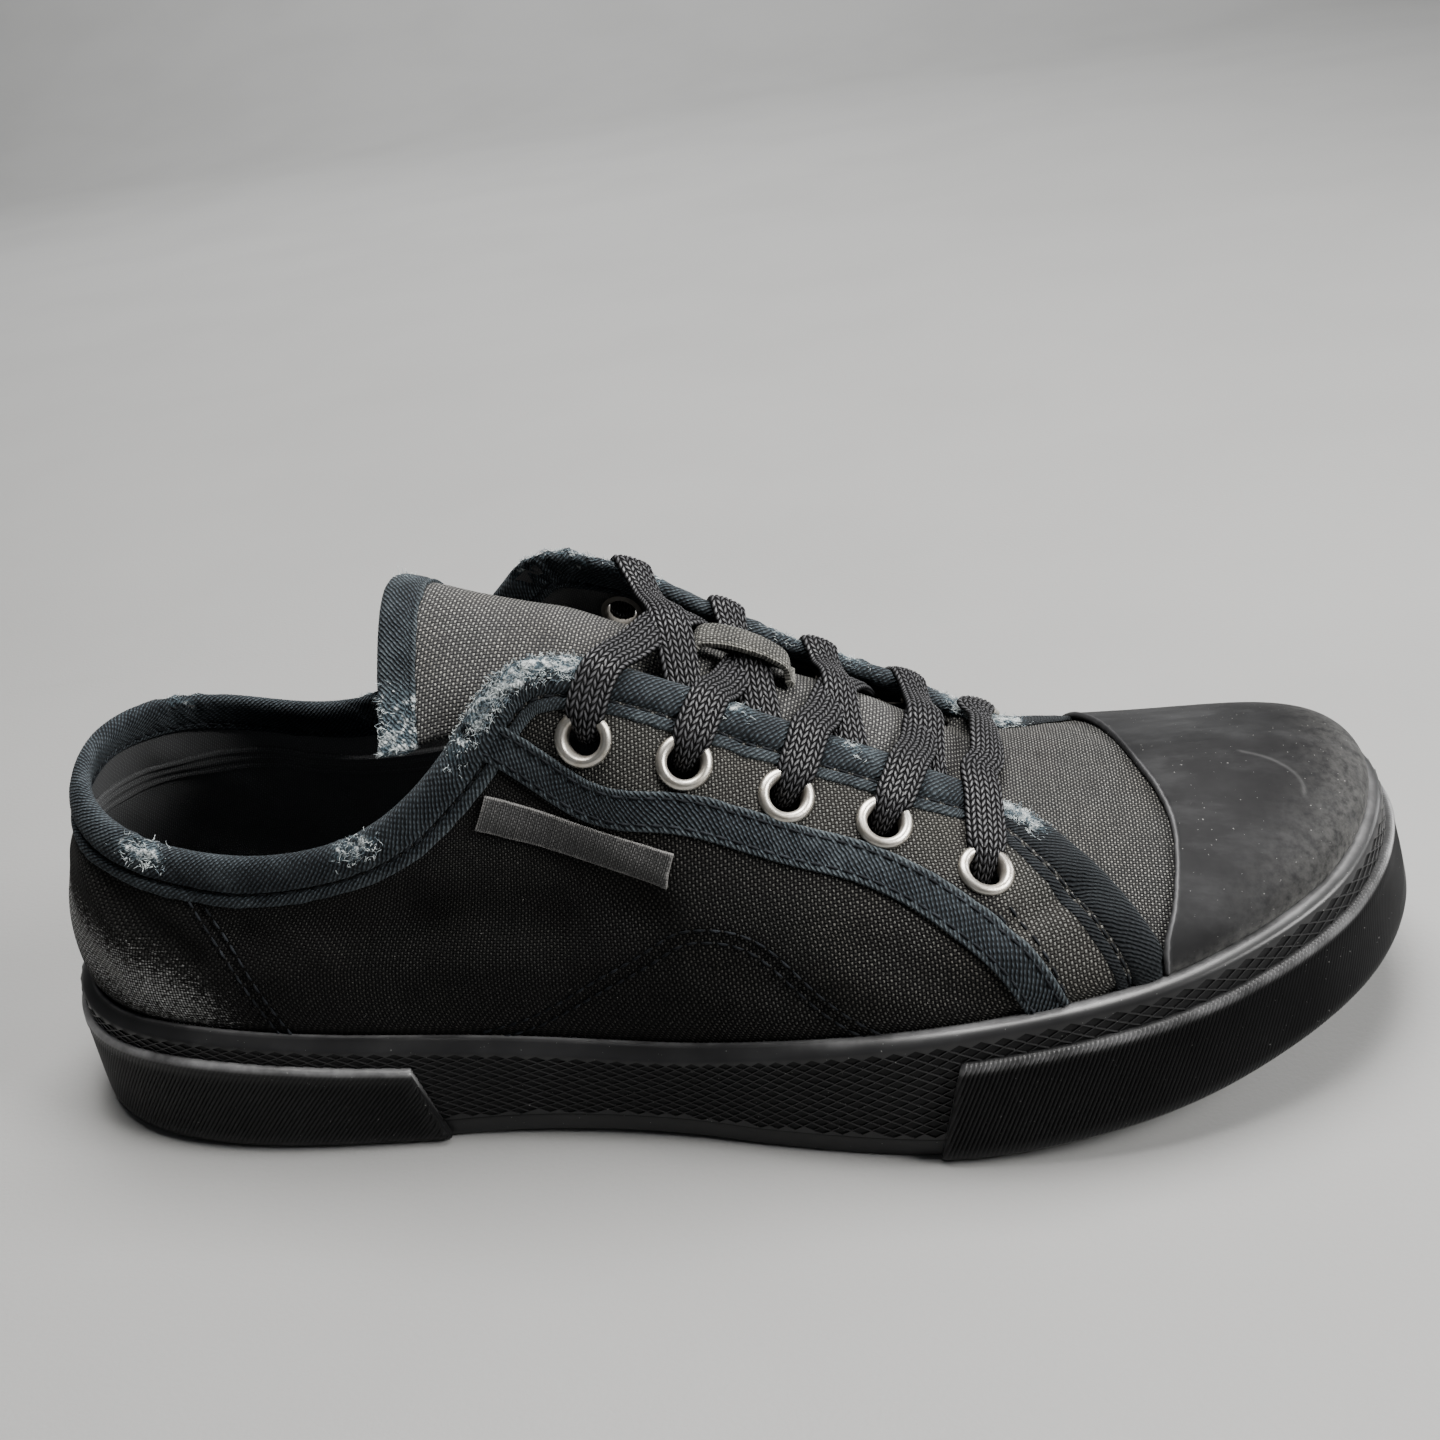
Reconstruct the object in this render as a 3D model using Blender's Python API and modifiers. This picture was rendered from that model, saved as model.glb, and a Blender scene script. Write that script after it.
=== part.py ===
"""A worn low-cut canvas sneaker with a vulcanised rubber sole, the right shoe.

The frame has +X at the toe, -Y on the lateral (outer) side and +Z up. The origin is on
the ground, under the middle of the shoe. Tables and lengths are in millimetres, and
mesh() turns them into metres.

The shoe is drawn from one closed line, its plan. A place round the plan is t: it is 0 at
the heel's back, rises by one for each row of LAST along the lateral side to the toe tip,
and goes on down the medial side. A place up the shell is v: 0 at the foxing's top edge
and 1 at the collar, the throat's edge or the ridge of the toe box.
"""

import math

import bmesh
import bpy
import numpy as np
from mathutils import Matrix, Vector

MM = 0.001
OBJECT_NAME = "canvas_sneaker"

# ---------------------------------------------------------------- driving dimensions
WALL = 2.0             # canvas, lining and glue of the upper
GAP = 0.3              # clearance between pieces that touch
SOLE_EDGE = 3.8        # how far the sole's edge stands outside the upper
OUTSOLE_THICK = 5.0
OUTSOLE_ROUND = 1.2    # its rounded lower edge
FOOTBED = 9.3          # height of the outsole's filler under the insole
INSOLE_THICK = 4.5
INSOLE_ROUND = 1.2
RIM_WIDTH = 8.0        # smooth border round the tread
TREAD_DEPTH = 1.6
COLUMNS = 70           # sections round the plan

TOE_SPRING = 21.0      # rise of the sole's edge at the toe tip
SPRING_FROM = 48.0     # x where the sole leaves the ground
SPRING_TO = 146.0      # x where the rise is reached
SPRING_POWER = 1.45
ARCH_RISE = 1.0
ARCH_X = -22.0         # middle of the arch, and half its length
ARCH_HALF = 34.0

# The last: one row for each section, from the heel's back to the toe tip.
# x, lat, med   plan line of the upper at the sole, lateral and medial half widths
# fox           height of the foxing's top edge
# lean          how far the upper has come in by then
# lx, ly, lz    top edge on the lateral side: place, half gap, height
# mx, my, mz    top edge on the medial side
# rise, flare   handle that leaves the foxing: upwards and outwards
# drop, out     handle that arrives at the top edge: below it and outside it
LAST_COLUMNS = ("x", "lat", "med", "fox", "lean", "lx", "ly", "lz", "mx", "my", "mz",
                "rise", "flare", "drop", "out")
LAST = (
    (-142.5,  0.0,  0.0, 31.0, -1.0, -131.5,  0.0, 79.0, -131.5,  0.0,  79.0, 20, 3.0, 16,  6),
    (-133.0, 22.0, 21.0, 29.5, -0.5, -125.0, 16.5, 74.5, -125.0, 17.5,  80.0, 17, 3.5, 13,  6),
    (-108.0, 34.0, 32.0, 29.0,  0.0, -108.0, 26.5, 68.5, -107.0, 28.5,  74.0, 15, 3.0, 11,  5),
    (-76.0,  36.5, 33.0, 26.5,  0.0,  -83.0, 32.0, 66.3,  -83.0, 31.5,  70.0, 14, 3.0, 11,  4),
    (-42.0,  36.0, 29.0, 24.0,  0.0,  -58.0, 32.5, 71.5,  -59.0, 32.0,  80.0, 16, 3.0, 13,  5),
    (-10.0,  38.5, 29.0, 22.5,  0.0,  -38.0, 27.0, 87.0,  -38.5, 27.0,  97.0, 22, 4.0, 18,  9),
    (8.0,    41.5, 31.5, 23.5,  0.0,  -19.0, 20.5, 99.5,  -20.0, 21.0, 104.5, 25, 4.0, 14, 14),
    (26.0,   45.0, 36.5, 26.0,  0.0,   15.0, 16.5, 83.5,   15.0, 16.5,  86.5, 22, 4.0, 10, 14),
    (47.0,   47.7, 42.5, 29.0,  0.3,   38.0, 16.0, 72.0,   38.0, 16.0,  73.5, 18, 3.5,  8, 14),
    (68.0,   47.6, 46.5, 31.5,  1.0,   58.0, 15.0,  61.1,   58.0, 15.0,  61.1, 15, 3.0,  6, 14),
    (90.0,   44.0, 48.0, 33.8,  2.0,   70.0,  0.0,  57.4,   70.0,  0.0,  57.4, 12, 3.0,  0, 14),
    (110.0,  35.5, 47.0, 36.5,  3.0,   82.0,  0.0,  55.6,   82.0,  0.0,  55.6, 11, 3.0,  0, 14),
    (128.0,  22.0, 42.0, 40.0,  3.6,   94.0,  0.0,  55.4,   94.0,  0.0,  55.4, 10, 3.0,  0, 12),
    (139.0,   4.5, 30.0, 43.3,  4.0,  102.0,  0.0,  55.6,  102.0,  0.0,  55.6,  9, 3.0,  0, 12),
    (142.3, -12.8, 12.8, 44.4,  4.0,  105.0,  0.0,  55.7,  105.0,  0.0,  55.7,  9, 3.0,  0, 12),
)
TOE = len(LAST) - 1    # t at the toe tip
ROUND = 2 * TOE        # t once round the plan
THROAT_END = 9         # row where the throat's two edges start to close in
RIDGE_SLOPE = 0.0      # fall of the toe box on leaving its ridge
RIDGE_REACH = 0.46     # how far the ridge's handle reaches, as a share of the span

# Centre line of the top edge and ridge, which swings in to the medial side at the toe.
SWING_X = (-142.5, -60.0, 20.0, 105.0, 142.5)
SWING_Y = (0.0, -1.0, 0.0, 5.5, 8.5)

# Rows of the shell: heights over the sole below the foxing's top, then shares v.
LOWER_ROWS = (0.0, 0.5)
UPPER_ROWS = (0.0, 0.12, 0.25, 0.38, 0.52, 0.65, 0.77, 0.89, 1.0)

# The eyelets, top pair first: place t round the lateral side and v up it.
EYELETS = (
    (5.92, 0.765),
    (6.54, 0.735),
    (7.20, 0.730),
    (8.04, 0.714),
    (8.86, 0.600),
)
EYELET_SIDES = 10
EYELET_HOLE = 4.4      # radius of the hole in the canvas
HOLE_DEPTH = 12.0      # length of the tool that cuts it
# The eyelet's turned section: radius and height over the canvas.
EYELET = ((5.5, 0.5), (5.1, 1.3), (4.1, 1.8), (3.2, 1.0), (3.2, -2.4), (3.9, -2.4), (3.9, 0.5))

# The tongue's sections, from its root under the vamp to its top edge.
# x, crown      place and height of the middle
# half, fall    half width, and how far the sides fall below the crown
# lift          how far the medial side is raised and the lateral side lowered
TONGUE_COLUMNS = ("x", "crown", "half", "fall", "lift")
TONGUE = (
    (76.0,  52.2, 15.0,  4.0, 0.0),
    (66.0,  56.1, 18.0,  6.6, 0.0),
    (50.0,  67.2, 21.4, 11.2, 0.2),
    (32.0,  77.3, 22.5, 12.4, 0.4),
    (12.0,  86.8, 22.0, 12.4, 0.3),
    (-8.0,  95.8, 21.3, 12.2, 0.4),
    (-24.0, 101.8, 21.3, 14.5, 1.0),
    (-40.0, 107.0, 22.6, 17.5, 2.6),
    (-54.0, 110.5, 24.5, 21.0, 4.5),
)
TONGUE_ACROSS = 10     # faces across, and between one row of the table and the next
TONGUE_ALONG = 2
TONGUE_THICK = 2.0
TONGUE_CURVE = 1.8     # power of the fall towards the sides

# The toe cap's rear edge in plan, from the lateral side to the medial: x and y.
CAP_EDGE = ((90.6, -52.0), (91.6, -42.0), (94.2, -36.0), (96.0, -28.0), (96.7, -18.5),
            (95.2, -9.0), (92.4, 0.5), (90.2, 9.0), (87.6, 18.0), (84.6, 26.5), (81.8, 34.0),
            (79.6, 42.0), (78.6, 54.0))
CAP_FROM = 9.0         # t from which its form is drawn, before the cut
CAP_FOOT = 0.014       # v of its lower edge, just over the foxing
CAP_THICK = 1.4
TRIM_BACK = 50.0       # how far behind the edge the trimming tool reaches
TRIM_HEIGHTS = (20.0, 90.0)

# The foxing's section: offset from the upper's wall, then height over its foot, or depth
# below its top edge.
FOXING_FOOT = ((GAP, 0.0), (3.4, 0.0))
FOXING_BEAD = ((3.4, 4.6), (4.1, 3.4), (4.1, 2.5), (3.3, 0.9), (0.9, 0.0))

# The bumpers' section: depth below the outer face, then share of the height.
BUMPER_THICK = 2.0
BUMPER = ((2.0, 0.0), (1.0, 0.0), (0.0, 0.12), (0.0, 0.92), (0.8, 1.0), (2.0, 1.0))
# Each one's place: t of its ends at the foot and at the top, height of the foot over the
# ground line, and fall of its top edge below the foxing's.
TOE_BUMPER = {"start": (8.05, 8.30), "end": (19.80, 19.55), "foot": 0.6, "fall": 6.5}
HEEL_BUMPER = {"start": (24.60, 24.75), "end": (3.62, 3.47), "foot": 0.6, "fall": 6.1}

# The woven tab on the lateral quarter: x and z of its lower edge's ends and its upper's.
TAB_FOOT = ((-36.6, 70.4), (0.6, 58.0))
TAB_TOP = ((-33.6, 77.0), (2.8, 64.6))
TAB_THICK = 0.8
TAB_STEPS = 6
TAB_NEAR_T, TAB_NEAR_V = 5.5, 0.6      # a place near it, where the search starts

# Tread bars: x of the first and the last, and the distance between them.
HEEL_BARS = (-124.0, -68.0, 11.2)
FORE_BARS = (2.0, 116.0, 11.4)
BAR_WIDTH = 4.6
BAR_POINT = 7.0        # how far a bar's middle points forward
BAR_SUNK = 2.0         # how far its ends run into the border
BAR_HEIGHTS = (0.2, 3.2)

# The lace, a flat braid. A strand leaves its eyelet, goes over the throat's edge, crosses
# the tongue and stops just short of the far edge, where it dives under.
LACE_WIDTH = 8.0
LACE_THICK = 1.4
LACE_START = 0.5       # where it starts, as a share of the way from eyelet to edge
LACE_CLEAR = 2.5       # height of its middle over the canvas on that way
LACE_BEND = 1.3        # how far it has turned level on reaching the edge
RIM_LEAD = 5.0         # how far it drifts to the toe on that way
RIM_SLOPE = -0.47      # fall of the throat's edge towards the toe
# Share of the way across, place on the tongue (1 is the near side) and height over it.
STRAND = ((0.12, 0.42, 2.9), (0.5, 0.0, 2.0), (0.75, -0.24, 1.6))
# For each crossing, top first: x where its strands dive, and its extra height.
CROSSINGS = ((5.6, 3.6), (20.0, 0.4), (36.0, 0.4), (51.0, 0.4))
# The straight bar over the bottom pair: x, places across, height over tongue and canvas.
STRAIGHT_X = 60.0
STRAIGHT_ACROSS = (-0.35, 0.0, 0.35)
STRAIGHT_HEIGHT = 5.0
STRAIGHT_CLEAR = 3.2

# The keeper, a loop of canvas along the tongue over the second crossing.
KEEPER_X = 14.2        # its middle and half its length
KEEPER_HALF = 10.6
KEEPER_WIDTH = 8.0
KEEPER_THICK = 1.2
# Share of the half length, and height over the tongue.
KEEPER_ARCH = ((-1.0, 1.1), (-0.88, 1.5), (-0.76, 4.6), (-0.4, 5.9), (0.0, 6.2),
               (0.4, 6.0), (0.76, 5.0), (0.88, 1.5), (1.0, 1.1))


# ---------------------------------------------------------------- scene and materials
def clear_scene():
    """Remove what a new file starts with."""
    for ob in list(bpy.data.objects):
        bpy.data.objects.remove(ob)


def new_collection(name):
    """Add a collection to the scene."""
    collection = bpy.data.collections.new(name)
    bpy.context.scene.collection.children.link(collection)
    return collection


def material(name, colour, roughness, metallic=0.0):
    """A plain Principled material."""
    mat = bpy.data.materials.new(name)
    mat.use_nodes = True
    shader = mat.node_tree.nodes["Principled BSDF"]
    shader.inputs["Base Color"].default_value = (*colour, 1.0)
    shader.inputs["Roughness"].default_value = roughness
    shader.inputs["Metallic"].default_value = metallic
    return mat


clear_scene()
PARTS = new_collection(OBJECT_NAME)
CUTTERS = new_collection(OBJECT_NAME + "_cutters")
CANVAS = material("charcoal canvas", (0.055, 0.056, 0.058), 0.9)
RUBBER = material("black rubber", (0.035, 0.036, 0.038), 0.55)
CAP_RUBBER = material("cap rubber", (0.045, 0.047, 0.050), 0.45)
SOCK = material("insole cloth", (0.020, 0.030, 0.033), 0.85)
STEEL = material("nickel plate", (0.62, 0.61, 0.58), 0.3, 1.0)
BRAID = material("lace braid", (0.050, 0.050, 0.053), 0.8)
SATIN = material("tab satin", (0.12, 0.12, 0.12), 0.5)


# ---------------------------------------------------------------- the last
def closed_spline(values):
    """A smooth closed curve through values at 0, 1, 2 and so on."""
    count = len(values)
    shift = np.eye(count)
    matrix = 4 * shift + np.roll(shift, 1, 0) + np.roll(shift, -1, 0)
    slope = np.linalg.solve(matrix, 3 * (np.roll(values, -1) - np.roll(values, 1)))

    def value(t):
        t = np.asarray(t, float) % count
        i = np.floor(t).astype(int) % count
        j = (i + 1) % count
        u = t - np.floor(t)
        return (values[i] * (2 * u**3 - 3 * u**2 + 1) + slope[i] * (u**3 - 2 * u**2 + u)
                + values[j] * (3 * u**2 - 2 * u**3) + slope[j] * (u**3 - u**2))
    return value


def round_the_last(lateral, medial, sign=1.0):
    """Spline once round, from a column for each side."""
    table = np.array(LAST, float)
    first = sign * table[:, LAST_COLUMNS.index(lateral)]
    second = table[:, LAST_COLUMNS.index(medial)]
    return closed_spline(np.concatenate([first, second[-2:0:-1]]))


PLAN_X = round_the_last("x", "x")
PLAN_Y = round_the_last("lat", "med", -1.0)
FOX_TOP = round_the_last("fox", "fox")
LEAN = round_the_last("lean", "lean")
TOP_X = round_the_last("lx", "mx")
TOP_GAP = round_the_last("ly", "my", -1.0)
TOP_Z = round_the_last("lz", "mz")
RISE = round_the_last("rise", "rise")
FLARE = round_the_last("flare", "flare")
DROP = round_the_last("drop", "drop")
OUT = round_the_last("out", "out")


def along(t):
    """How far t is from the heel's back, along either side."""
    t = np.asarray(t, float) % ROUND
    return np.minimum(t, ROUND - t)


def plan(t):
    """The plan line of the upper, at the sole."""
    return np.stack([PLAN_X(t), PLAN_Y(t)], -1)


def outward(t):
    """Level unit vector that leaves the plan line at t."""
    step = 1e-3
    run = plan(t + step) - plan(t - step)
    run /= np.linalg.norm(run, axis=-1, keepdims=True)
    return np.stack([run[..., 1], -run[..., 0]], -1)


def spring(x):
    """Height of the sole's underside: flat heel and ball, low arch, rising toe."""
    x = np.asarray(x, float)
    toe = np.clip((x - SPRING_FROM) / (SPRING_TO - SPRING_FROM), 0.0, None)
    arch = np.clip(1.0 - ((x - ARCH_X) / ARCH_HALF) ** 2, 0.0, None)
    return TOE_SPRING * toe**SPRING_POWER + ARCH_RISE * arch


def sole_height(t):
    """Height of the sole's underside below the plan line at t."""
    return spring(PLAN_X(t))


def side(t, offset, height):
    """Point offset outside the upper's lower wall, at a height over the ground."""
    foot = sole_height(t)
    share = np.clip((height - foot) / (FOX_TOP(t) - foot), 0.0, 1.0)
    level = plan(t) + outward(t) * (offset - LEAN(t) * share)[..., None]
    return np.concatenate([level, np.broadcast_to(height, level.shape[:-1])[..., None]], -1)


def top_edge(t):
    """The collar, the throat's edge and then the ridge of the toe box."""
    t = np.where(along(t) > THROAT_END + 0.99, along(t), t)
    closing = np.sqrt(np.clip(THROAT_END + 1 - along(t), 0.0, 1.0))
    x = TOP_X(t)
    y = np.interp(x, SWING_X, SWING_Y) + TOP_GAP(t) * closing
    return np.stack([x, y, TOP_Z(t)], -1)


def shell(t, v):
    """Outer face of the upper above the foxing."""
    t, v = np.broadcast_arrays(np.asarray(t, float), np.asarray(v, float))
    n = outward(t)
    start = side(t, np.zeros_like(t), FOX_TOP(t))
    level = n * FLARE(t)[..., None]
    leave = start + np.concatenate([level, RISE(t)[..., None]], -1)
    end = top_edge(t)
    away = plan(t) - n * LEAN(t)[..., None] - end[..., :2]
    span = np.linalg.norm(away, axis=-1, keepdims=True)
    away = away / np.maximum(span, 1e-6)
    ridge = np.clip(along(t) - THROAT_END, 0.0, 1.0)
    reach = OUT(t) * (1 - ridge) + RIDGE_REACH * span[..., 0] * ridge
    fall = -DROP(t) * (1 - ridge) + RIDGE_SLOPE * away[..., 0] * reach * ridge
    arrive = end + np.concatenate([away * reach[..., None], fall[..., None]], -1)
    v = v[..., None]
    u = 1 - v
    return start * u**3 + 3 * leave * v * u**2 + 3 * arrive * v**2 * u + end * v**3


def shell_normal(t, v):
    """Outward unit normal of the shell at one place."""
    step = 1e-3
    round_way = shell(t + step, v) - shell(t - step, v)
    up_way = shell(t, min(v + step, 1.0)) - shell(t, v - step)
    n = np.cross(round_way, up_way)
    return n / np.linalg.norm(n)


# ---------------------------------------------------------------- mesh tools
def mesh(name, verts, faces, mat, collection=None, smooth=True):
    """An object from points in millimetres, with near points merged."""
    data = bpy.data.meshes.new(name)
    data.from_pydata([tuple(np.asarray(p) * MM) for p in verts], [], faces)
    bm = bmesh.new()
    bm.from_mesh(data)
    bmesh.ops.remove_doubles(bm, verts=bm.verts, dist=1e-6)
    bmesh.ops.dissolve_degenerate(bm, edges=bm.edges, dist=1e-7)
    bm.to_mesh(data)
    bm.free()
    if smooth:
        data.shade_smooth()
        data.set_sharp_from_angle(angle=math.radians(35))
    ob = bpy.data.objects.new(name, data)
    ob.data.materials.append(mat)
    (collection or PARTS).objects.link(ob)
    return ob


def grid_faces(rows, columns, closed=False):
    """Quads between rows of points; a closed row joins its end to its start."""
    faces = []
    for r in range(rows - 1):
        for c in range(columns if closed else columns - 1):
            d = (c + 1) % columns
            faces.append((r * columns + c, r * columns + d,
                          (r + 1) * columns + d, (r + 1) * columns + c))
    return faces


def ladder(row, columns):
    """Quads across a closed row, from each lateral point to its medial twin."""
    base = row * columns
    half = columns // 2
    faces = []
    for i in range(half):
        a, b = base + i, base + i + 1
        c, d = base + (columns - i - 1) % columns, base + (columns - i) % columns
        faces.append(tuple(dict.fromkeys((a, b, c, d))))
    return faces


def section_ring(name, rings, mat):
    """A solid whose section, given as closed rings, runs all round the shoe."""
    count = len(rings[0])
    points = np.concatenate(rings)
    faces = grid_faces(len(rings), count, closed=True)
    last = (len(rings) - 1) * count
    for c in range(count):
        d = (c + 1) % count
        faces.append((last + c, last + d, d, c))
    return mesh(name, points, faces, mat)


def swept(name, sections, mat, collection=None, smooth=True):
    """A solid through closed sections of equal point count, with flat ends."""
    size = len(sections[0])
    points = np.concatenate(sections)
    faces = grid_faces(len(sections), size, closed=True)
    faces.append(tuple(reversed(range(size))))
    faces.append(tuple(range(len(points) - size, len(points))))
    ob = mesh(name, points, faces, mat, collection, smooth)
    face_out(ob)
    return ob


def face_out(ob):
    """Turn a closed body's faces outwards."""
    bm = bmesh.new()
    bm.from_mesh(ob.data)
    bmesh.ops.recalc_face_normals(bm, faces=bm.faces)
    bm.to_mesh(ob.data)
    bm.free()


def solidify(ob, thick, offset):
    """Give an open surface its thickness, inwards (-1) or outwards (+1)."""
    mod = ob.modifiers.new("wall", "SOLIDIFY")
    mod.thickness = thick * MM
    mod.offset = offset
    mod.use_even_offset = True
    mod.use_quality_normals = True
    mod.thickness_clamp = 0.0


def lift(ob, distance):
    """Move an open surface off along its normals."""
    bm = bmesh.new()
    bm.from_mesh(ob.data)
    bm.normal_update()
    moves = [(vert, vert.normal.copy()) for vert in bm.verts]
    for vert, normal in moves:
        vert.co += normal * distance * MM
    bm.to_mesh(ob.data)
    bm.free()


def boolean(ob, other, operation):
    """Cut or join with another object, which stays hidden among the cutters."""
    other.hide_render = True
    other.display_type = "WIRE"
    mod = ob.modifiers.new(operation.lower(), "BOOLEAN")
    mod.operation = operation
    mod.solver = "EXACT"
    mod.object = other


T_ROUND = np.arange(COLUMNS) * ROUND / COLUMNS


# ---------------------------------------------------------------- sole
def half_widths(x):
    """Lateral and medial y of the plan line at x."""
    t = np.linspace(0.0, TOE, 400)
    lateral = np.interp(x, PLAN_X(t), PLAN_Y(t))
    medial = np.interp(x, PLAN_X(ROUND - t), PLAN_Y(ROUND - t))
    return lateral, medial


def tread_bar(x):
    """One chevron bar across the tread, its ends sunk in the border."""
    lateral, medial = half_widths(x)
    middle = (lateral + medial) / 2
    low, high = BAR_HEIGHTS
    sections = []
    for y, middle_x in ((lateral + BAR_SUNK, x - BAR_POINT), (middle, x + BAR_POINT),
                        (medial - BAR_SUNK, x - BAR_POINT)):
        back, front = middle_x - BAR_WIDTH / 2, middle_x + BAR_WIDTH / 2
        corners = ((back, low), (front, low), (front, high), (back, high))
        sections.append(np.array([(px, y, spring(px) + up) for px, up in corners]))
    return sections


def bar_places():
    """x of every tread bar."""
    for first, last, step in (HEEL_BARS, FORE_BARS):
        x = first
        while x <= last:
            yield x
            x += step


def make_outsole():
    """Outsole with its border, tread bars and the filler inside the upper."""
    base = sole_height(T_ROUND)
    floor_in = SOLE_EDGE - RIM_WIDTH
    core_in = -WALL - 2 * GAP
    profile = (
        (floor_in, TREAD_DEPTH), (floor_in, 0.0),
        (SOLE_EDGE - OUTSOLE_ROUND, 0.0), (SOLE_EDGE, OUTSOLE_ROUND),
        (SOLE_EDGE, OUTSOLE_THICK), (core_in, OUTSOLE_THICK), (core_in, FOOTBED),
    )
    rings = [side(T_ROUND, np.full(COLUMNS, off), base + up) for off, up in profile]
    for ring, (off, up) in zip(rings, profile):
        if off == floor_in or up == 0.0:
            ring[:, 2] = spring(ring[:, 0]) + up
    points = np.concatenate(rings)
    faces = grid_faces(len(rings), COLUMNS, closed=True)
    faces += [tuple(reversed(f)) for f in ladder(0, COLUMNS)]
    faces += ladder(len(rings) - 1, COLUMNS)
    sole = mesh("outsole", points, faces, RUBBER)
    face_out(sole)
    verts, quads = [], []
    for x in bar_places():
        sections = tread_bar(x)
        start = len(verts)
        verts += [p for section in sections for p in section]
        quads += [tuple(start + i for i in f) for f in grid_faces(3, 4, closed=True)]
        quads += [tuple(start + i for i in (3, 2, 1, 0)), tuple(start + i for i in (8, 9, 10, 11))]
    bars = mesh("tread_bars", verts, quads, RUBBER, CUTTERS, smooth=False)
    face_out(bars)
    boolean(sole, bars, "UNION")
    return sole


def make_foxing():
    """Rubber tape round the shoe, with a rounded bead along its top edge."""
    foot = sole_height(T_ROUND) + OUTSOLE_THICK + GAP
    top = FOX_TOP(T_ROUND)
    profile = [(off, foot + up) for off, up in FOXING_FOOT]
    profile += [(off, top - down) for off, down in FOXING_BEAD]
    rings = [side(T_ROUND, np.full(COLUMNS, off), height) for off, height in profile]
    foxing = section_ring("foxing", rings, RUBBER)
    face_out(foxing)
    return foxing


def make_bumper(name, spec, mat):
    """A second, thicker strip over the foxing, between two slanted ends."""
    start, end = np.array(spec["start"]), np.array(spec["end"])
    if end[0] < start[0]:
        end = end + ROUND
    step = ROUND / COLUMNS
    between = np.arange(math.ceil(max(start) / step + 0.3), math.floor(min(end) / step - 0.3) + 1)
    places = [start] + [np.array((t, t)) for t in between * step] + [end]
    outer = SOLE_EDGE + 2 * GAP + BUMPER_THICK
    sections = []
    for low, high in places:
        section = []
        for depth, up in BUMPER:
            t = np.array([low + (high - low) * up])
            foot = sole_height(t) + spec["foot"]
            height = foot + (FOX_TOP(t) - spec["fall"] - foot) * up
            section.append(side(t, np.array([outer - depth]), height)[0])
        sections.append(np.array(section))
    return swept(name, sections, mat)


def make_insole():
    """Cushioned sock that lies on the filler, inside the upper."""
    inner = -WALL - 2 * GAP
    base = sole_height(T_ROUND) + FOOTBED + GAP
    profile = ((inner - INSOLE_ROUND / 2, 0.0), (inner, INSOLE_ROUND),
               (inner, INSOLE_THICK - INSOLE_ROUND), (inner - INSOLE_ROUND, INSOLE_THICK))
    rings = [side(T_ROUND, np.full(COLUMNS, off), base + up) for off, up in profile]
    points = np.concatenate(rings)
    faces = grid_faces(len(rings), COLUMNS, closed=True)
    faces += [tuple(reversed(f)) for f in ladder(0, COLUMNS)]
    faces += ladder(len(rings) - 1, COLUMNS)
    insole = mesh("insole", points, faces, SOCK)
    face_out(insole)
    return insole


# ---------------------------------------------------------------- upper
def eyelet_places():
    """Name, centre and outward normal of each eyelet, down both sides."""
    for side_name, mirror in (("l", False), ("m", True)):
        for number, (t, v) in enumerate(EYELETS, 1):
            t = ROUND - t if mirror else t
            centre = shell(t, v)
            yield f"eyelet_{side_name}{number}", Vector(centre), Vector(shell_normal(t, v))


def upright(centre, normal):
    """Matrix, in metres, that stands a shape's +Z on a normal at a centre in mm."""
    turn = normal.to_track_quat("Z", "Y").to_matrix().to_4x4()
    return Matrix.Translation(centre * MM) @ turn


def make_upper():
    """One hollow canvas shell, open at the collar, the throat and underneath."""
    rows = []
    foot = sole_height(T_ROUND) + OUTSOLE_THICK + 3 * GAP
    for share in LOWER_ROWS:
        rows.append(side(T_ROUND, np.zeros(COLUMNS), foot + (FOX_TOP(T_ROUND) - foot) * share))
    for v in UPPER_ROWS:
        rows.append(shell(T_ROUND, v))
    faces = grid_faces(len(rows), COLUMNS, closed=True)
    upper = mesh("upper", np.concatenate(rows), faces, CANVAS)
    solidify(upper, WALL, -1.0)
    bm = bmesh.new()
    for _, centre, normal in eyelet_places():
        bmesh.ops.create_cone(bm, cap_ends=True, segments=EYELET_SIDES, depth=HOLE_DEPTH * MM,
                              radius1=EYELET_HOLE * MM, radius2=EYELET_HOLE * MM,
                              matrix=upright(centre, normal))
    data = bpy.data.meshes.new("eyelet_holes")
    bm.to_mesh(data)
    bm.free()
    holes = bpy.data.objects.new("eyelet_holes", data)
    CUTTERS.objects.link(holes)
    boolean(upper, holes, "DIFFERENCE")
    return upper


def make_eyelets():
    """Turned steel eyelets: a domed flange outside and a barrel through the wall."""
    turned = []
    for step in range(EYELET_SIDES):
        angle = 2 * math.pi * step / EYELET_SIDES
        turned.append(np.array([(r * math.cos(angle), r * math.sin(angle), z) for r, z in EYELET]))
    size = len(EYELET)
    points = np.concatenate(turned)
    faces = []
    for a in range(EYELET_SIDES):
        b = (a + 1) % EYELET_SIDES
        for i in range(size):
            j = (i + 1) % size
            faces.append((a * size + i, b * size + i, b * size + j, a * size + j))
    for name, centre, normal in eyelet_places():
        ob = mesh(name, points, faces, STEEL)
        face_out(ob)
        ob.matrix_world = upright(centre, normal)


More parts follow.
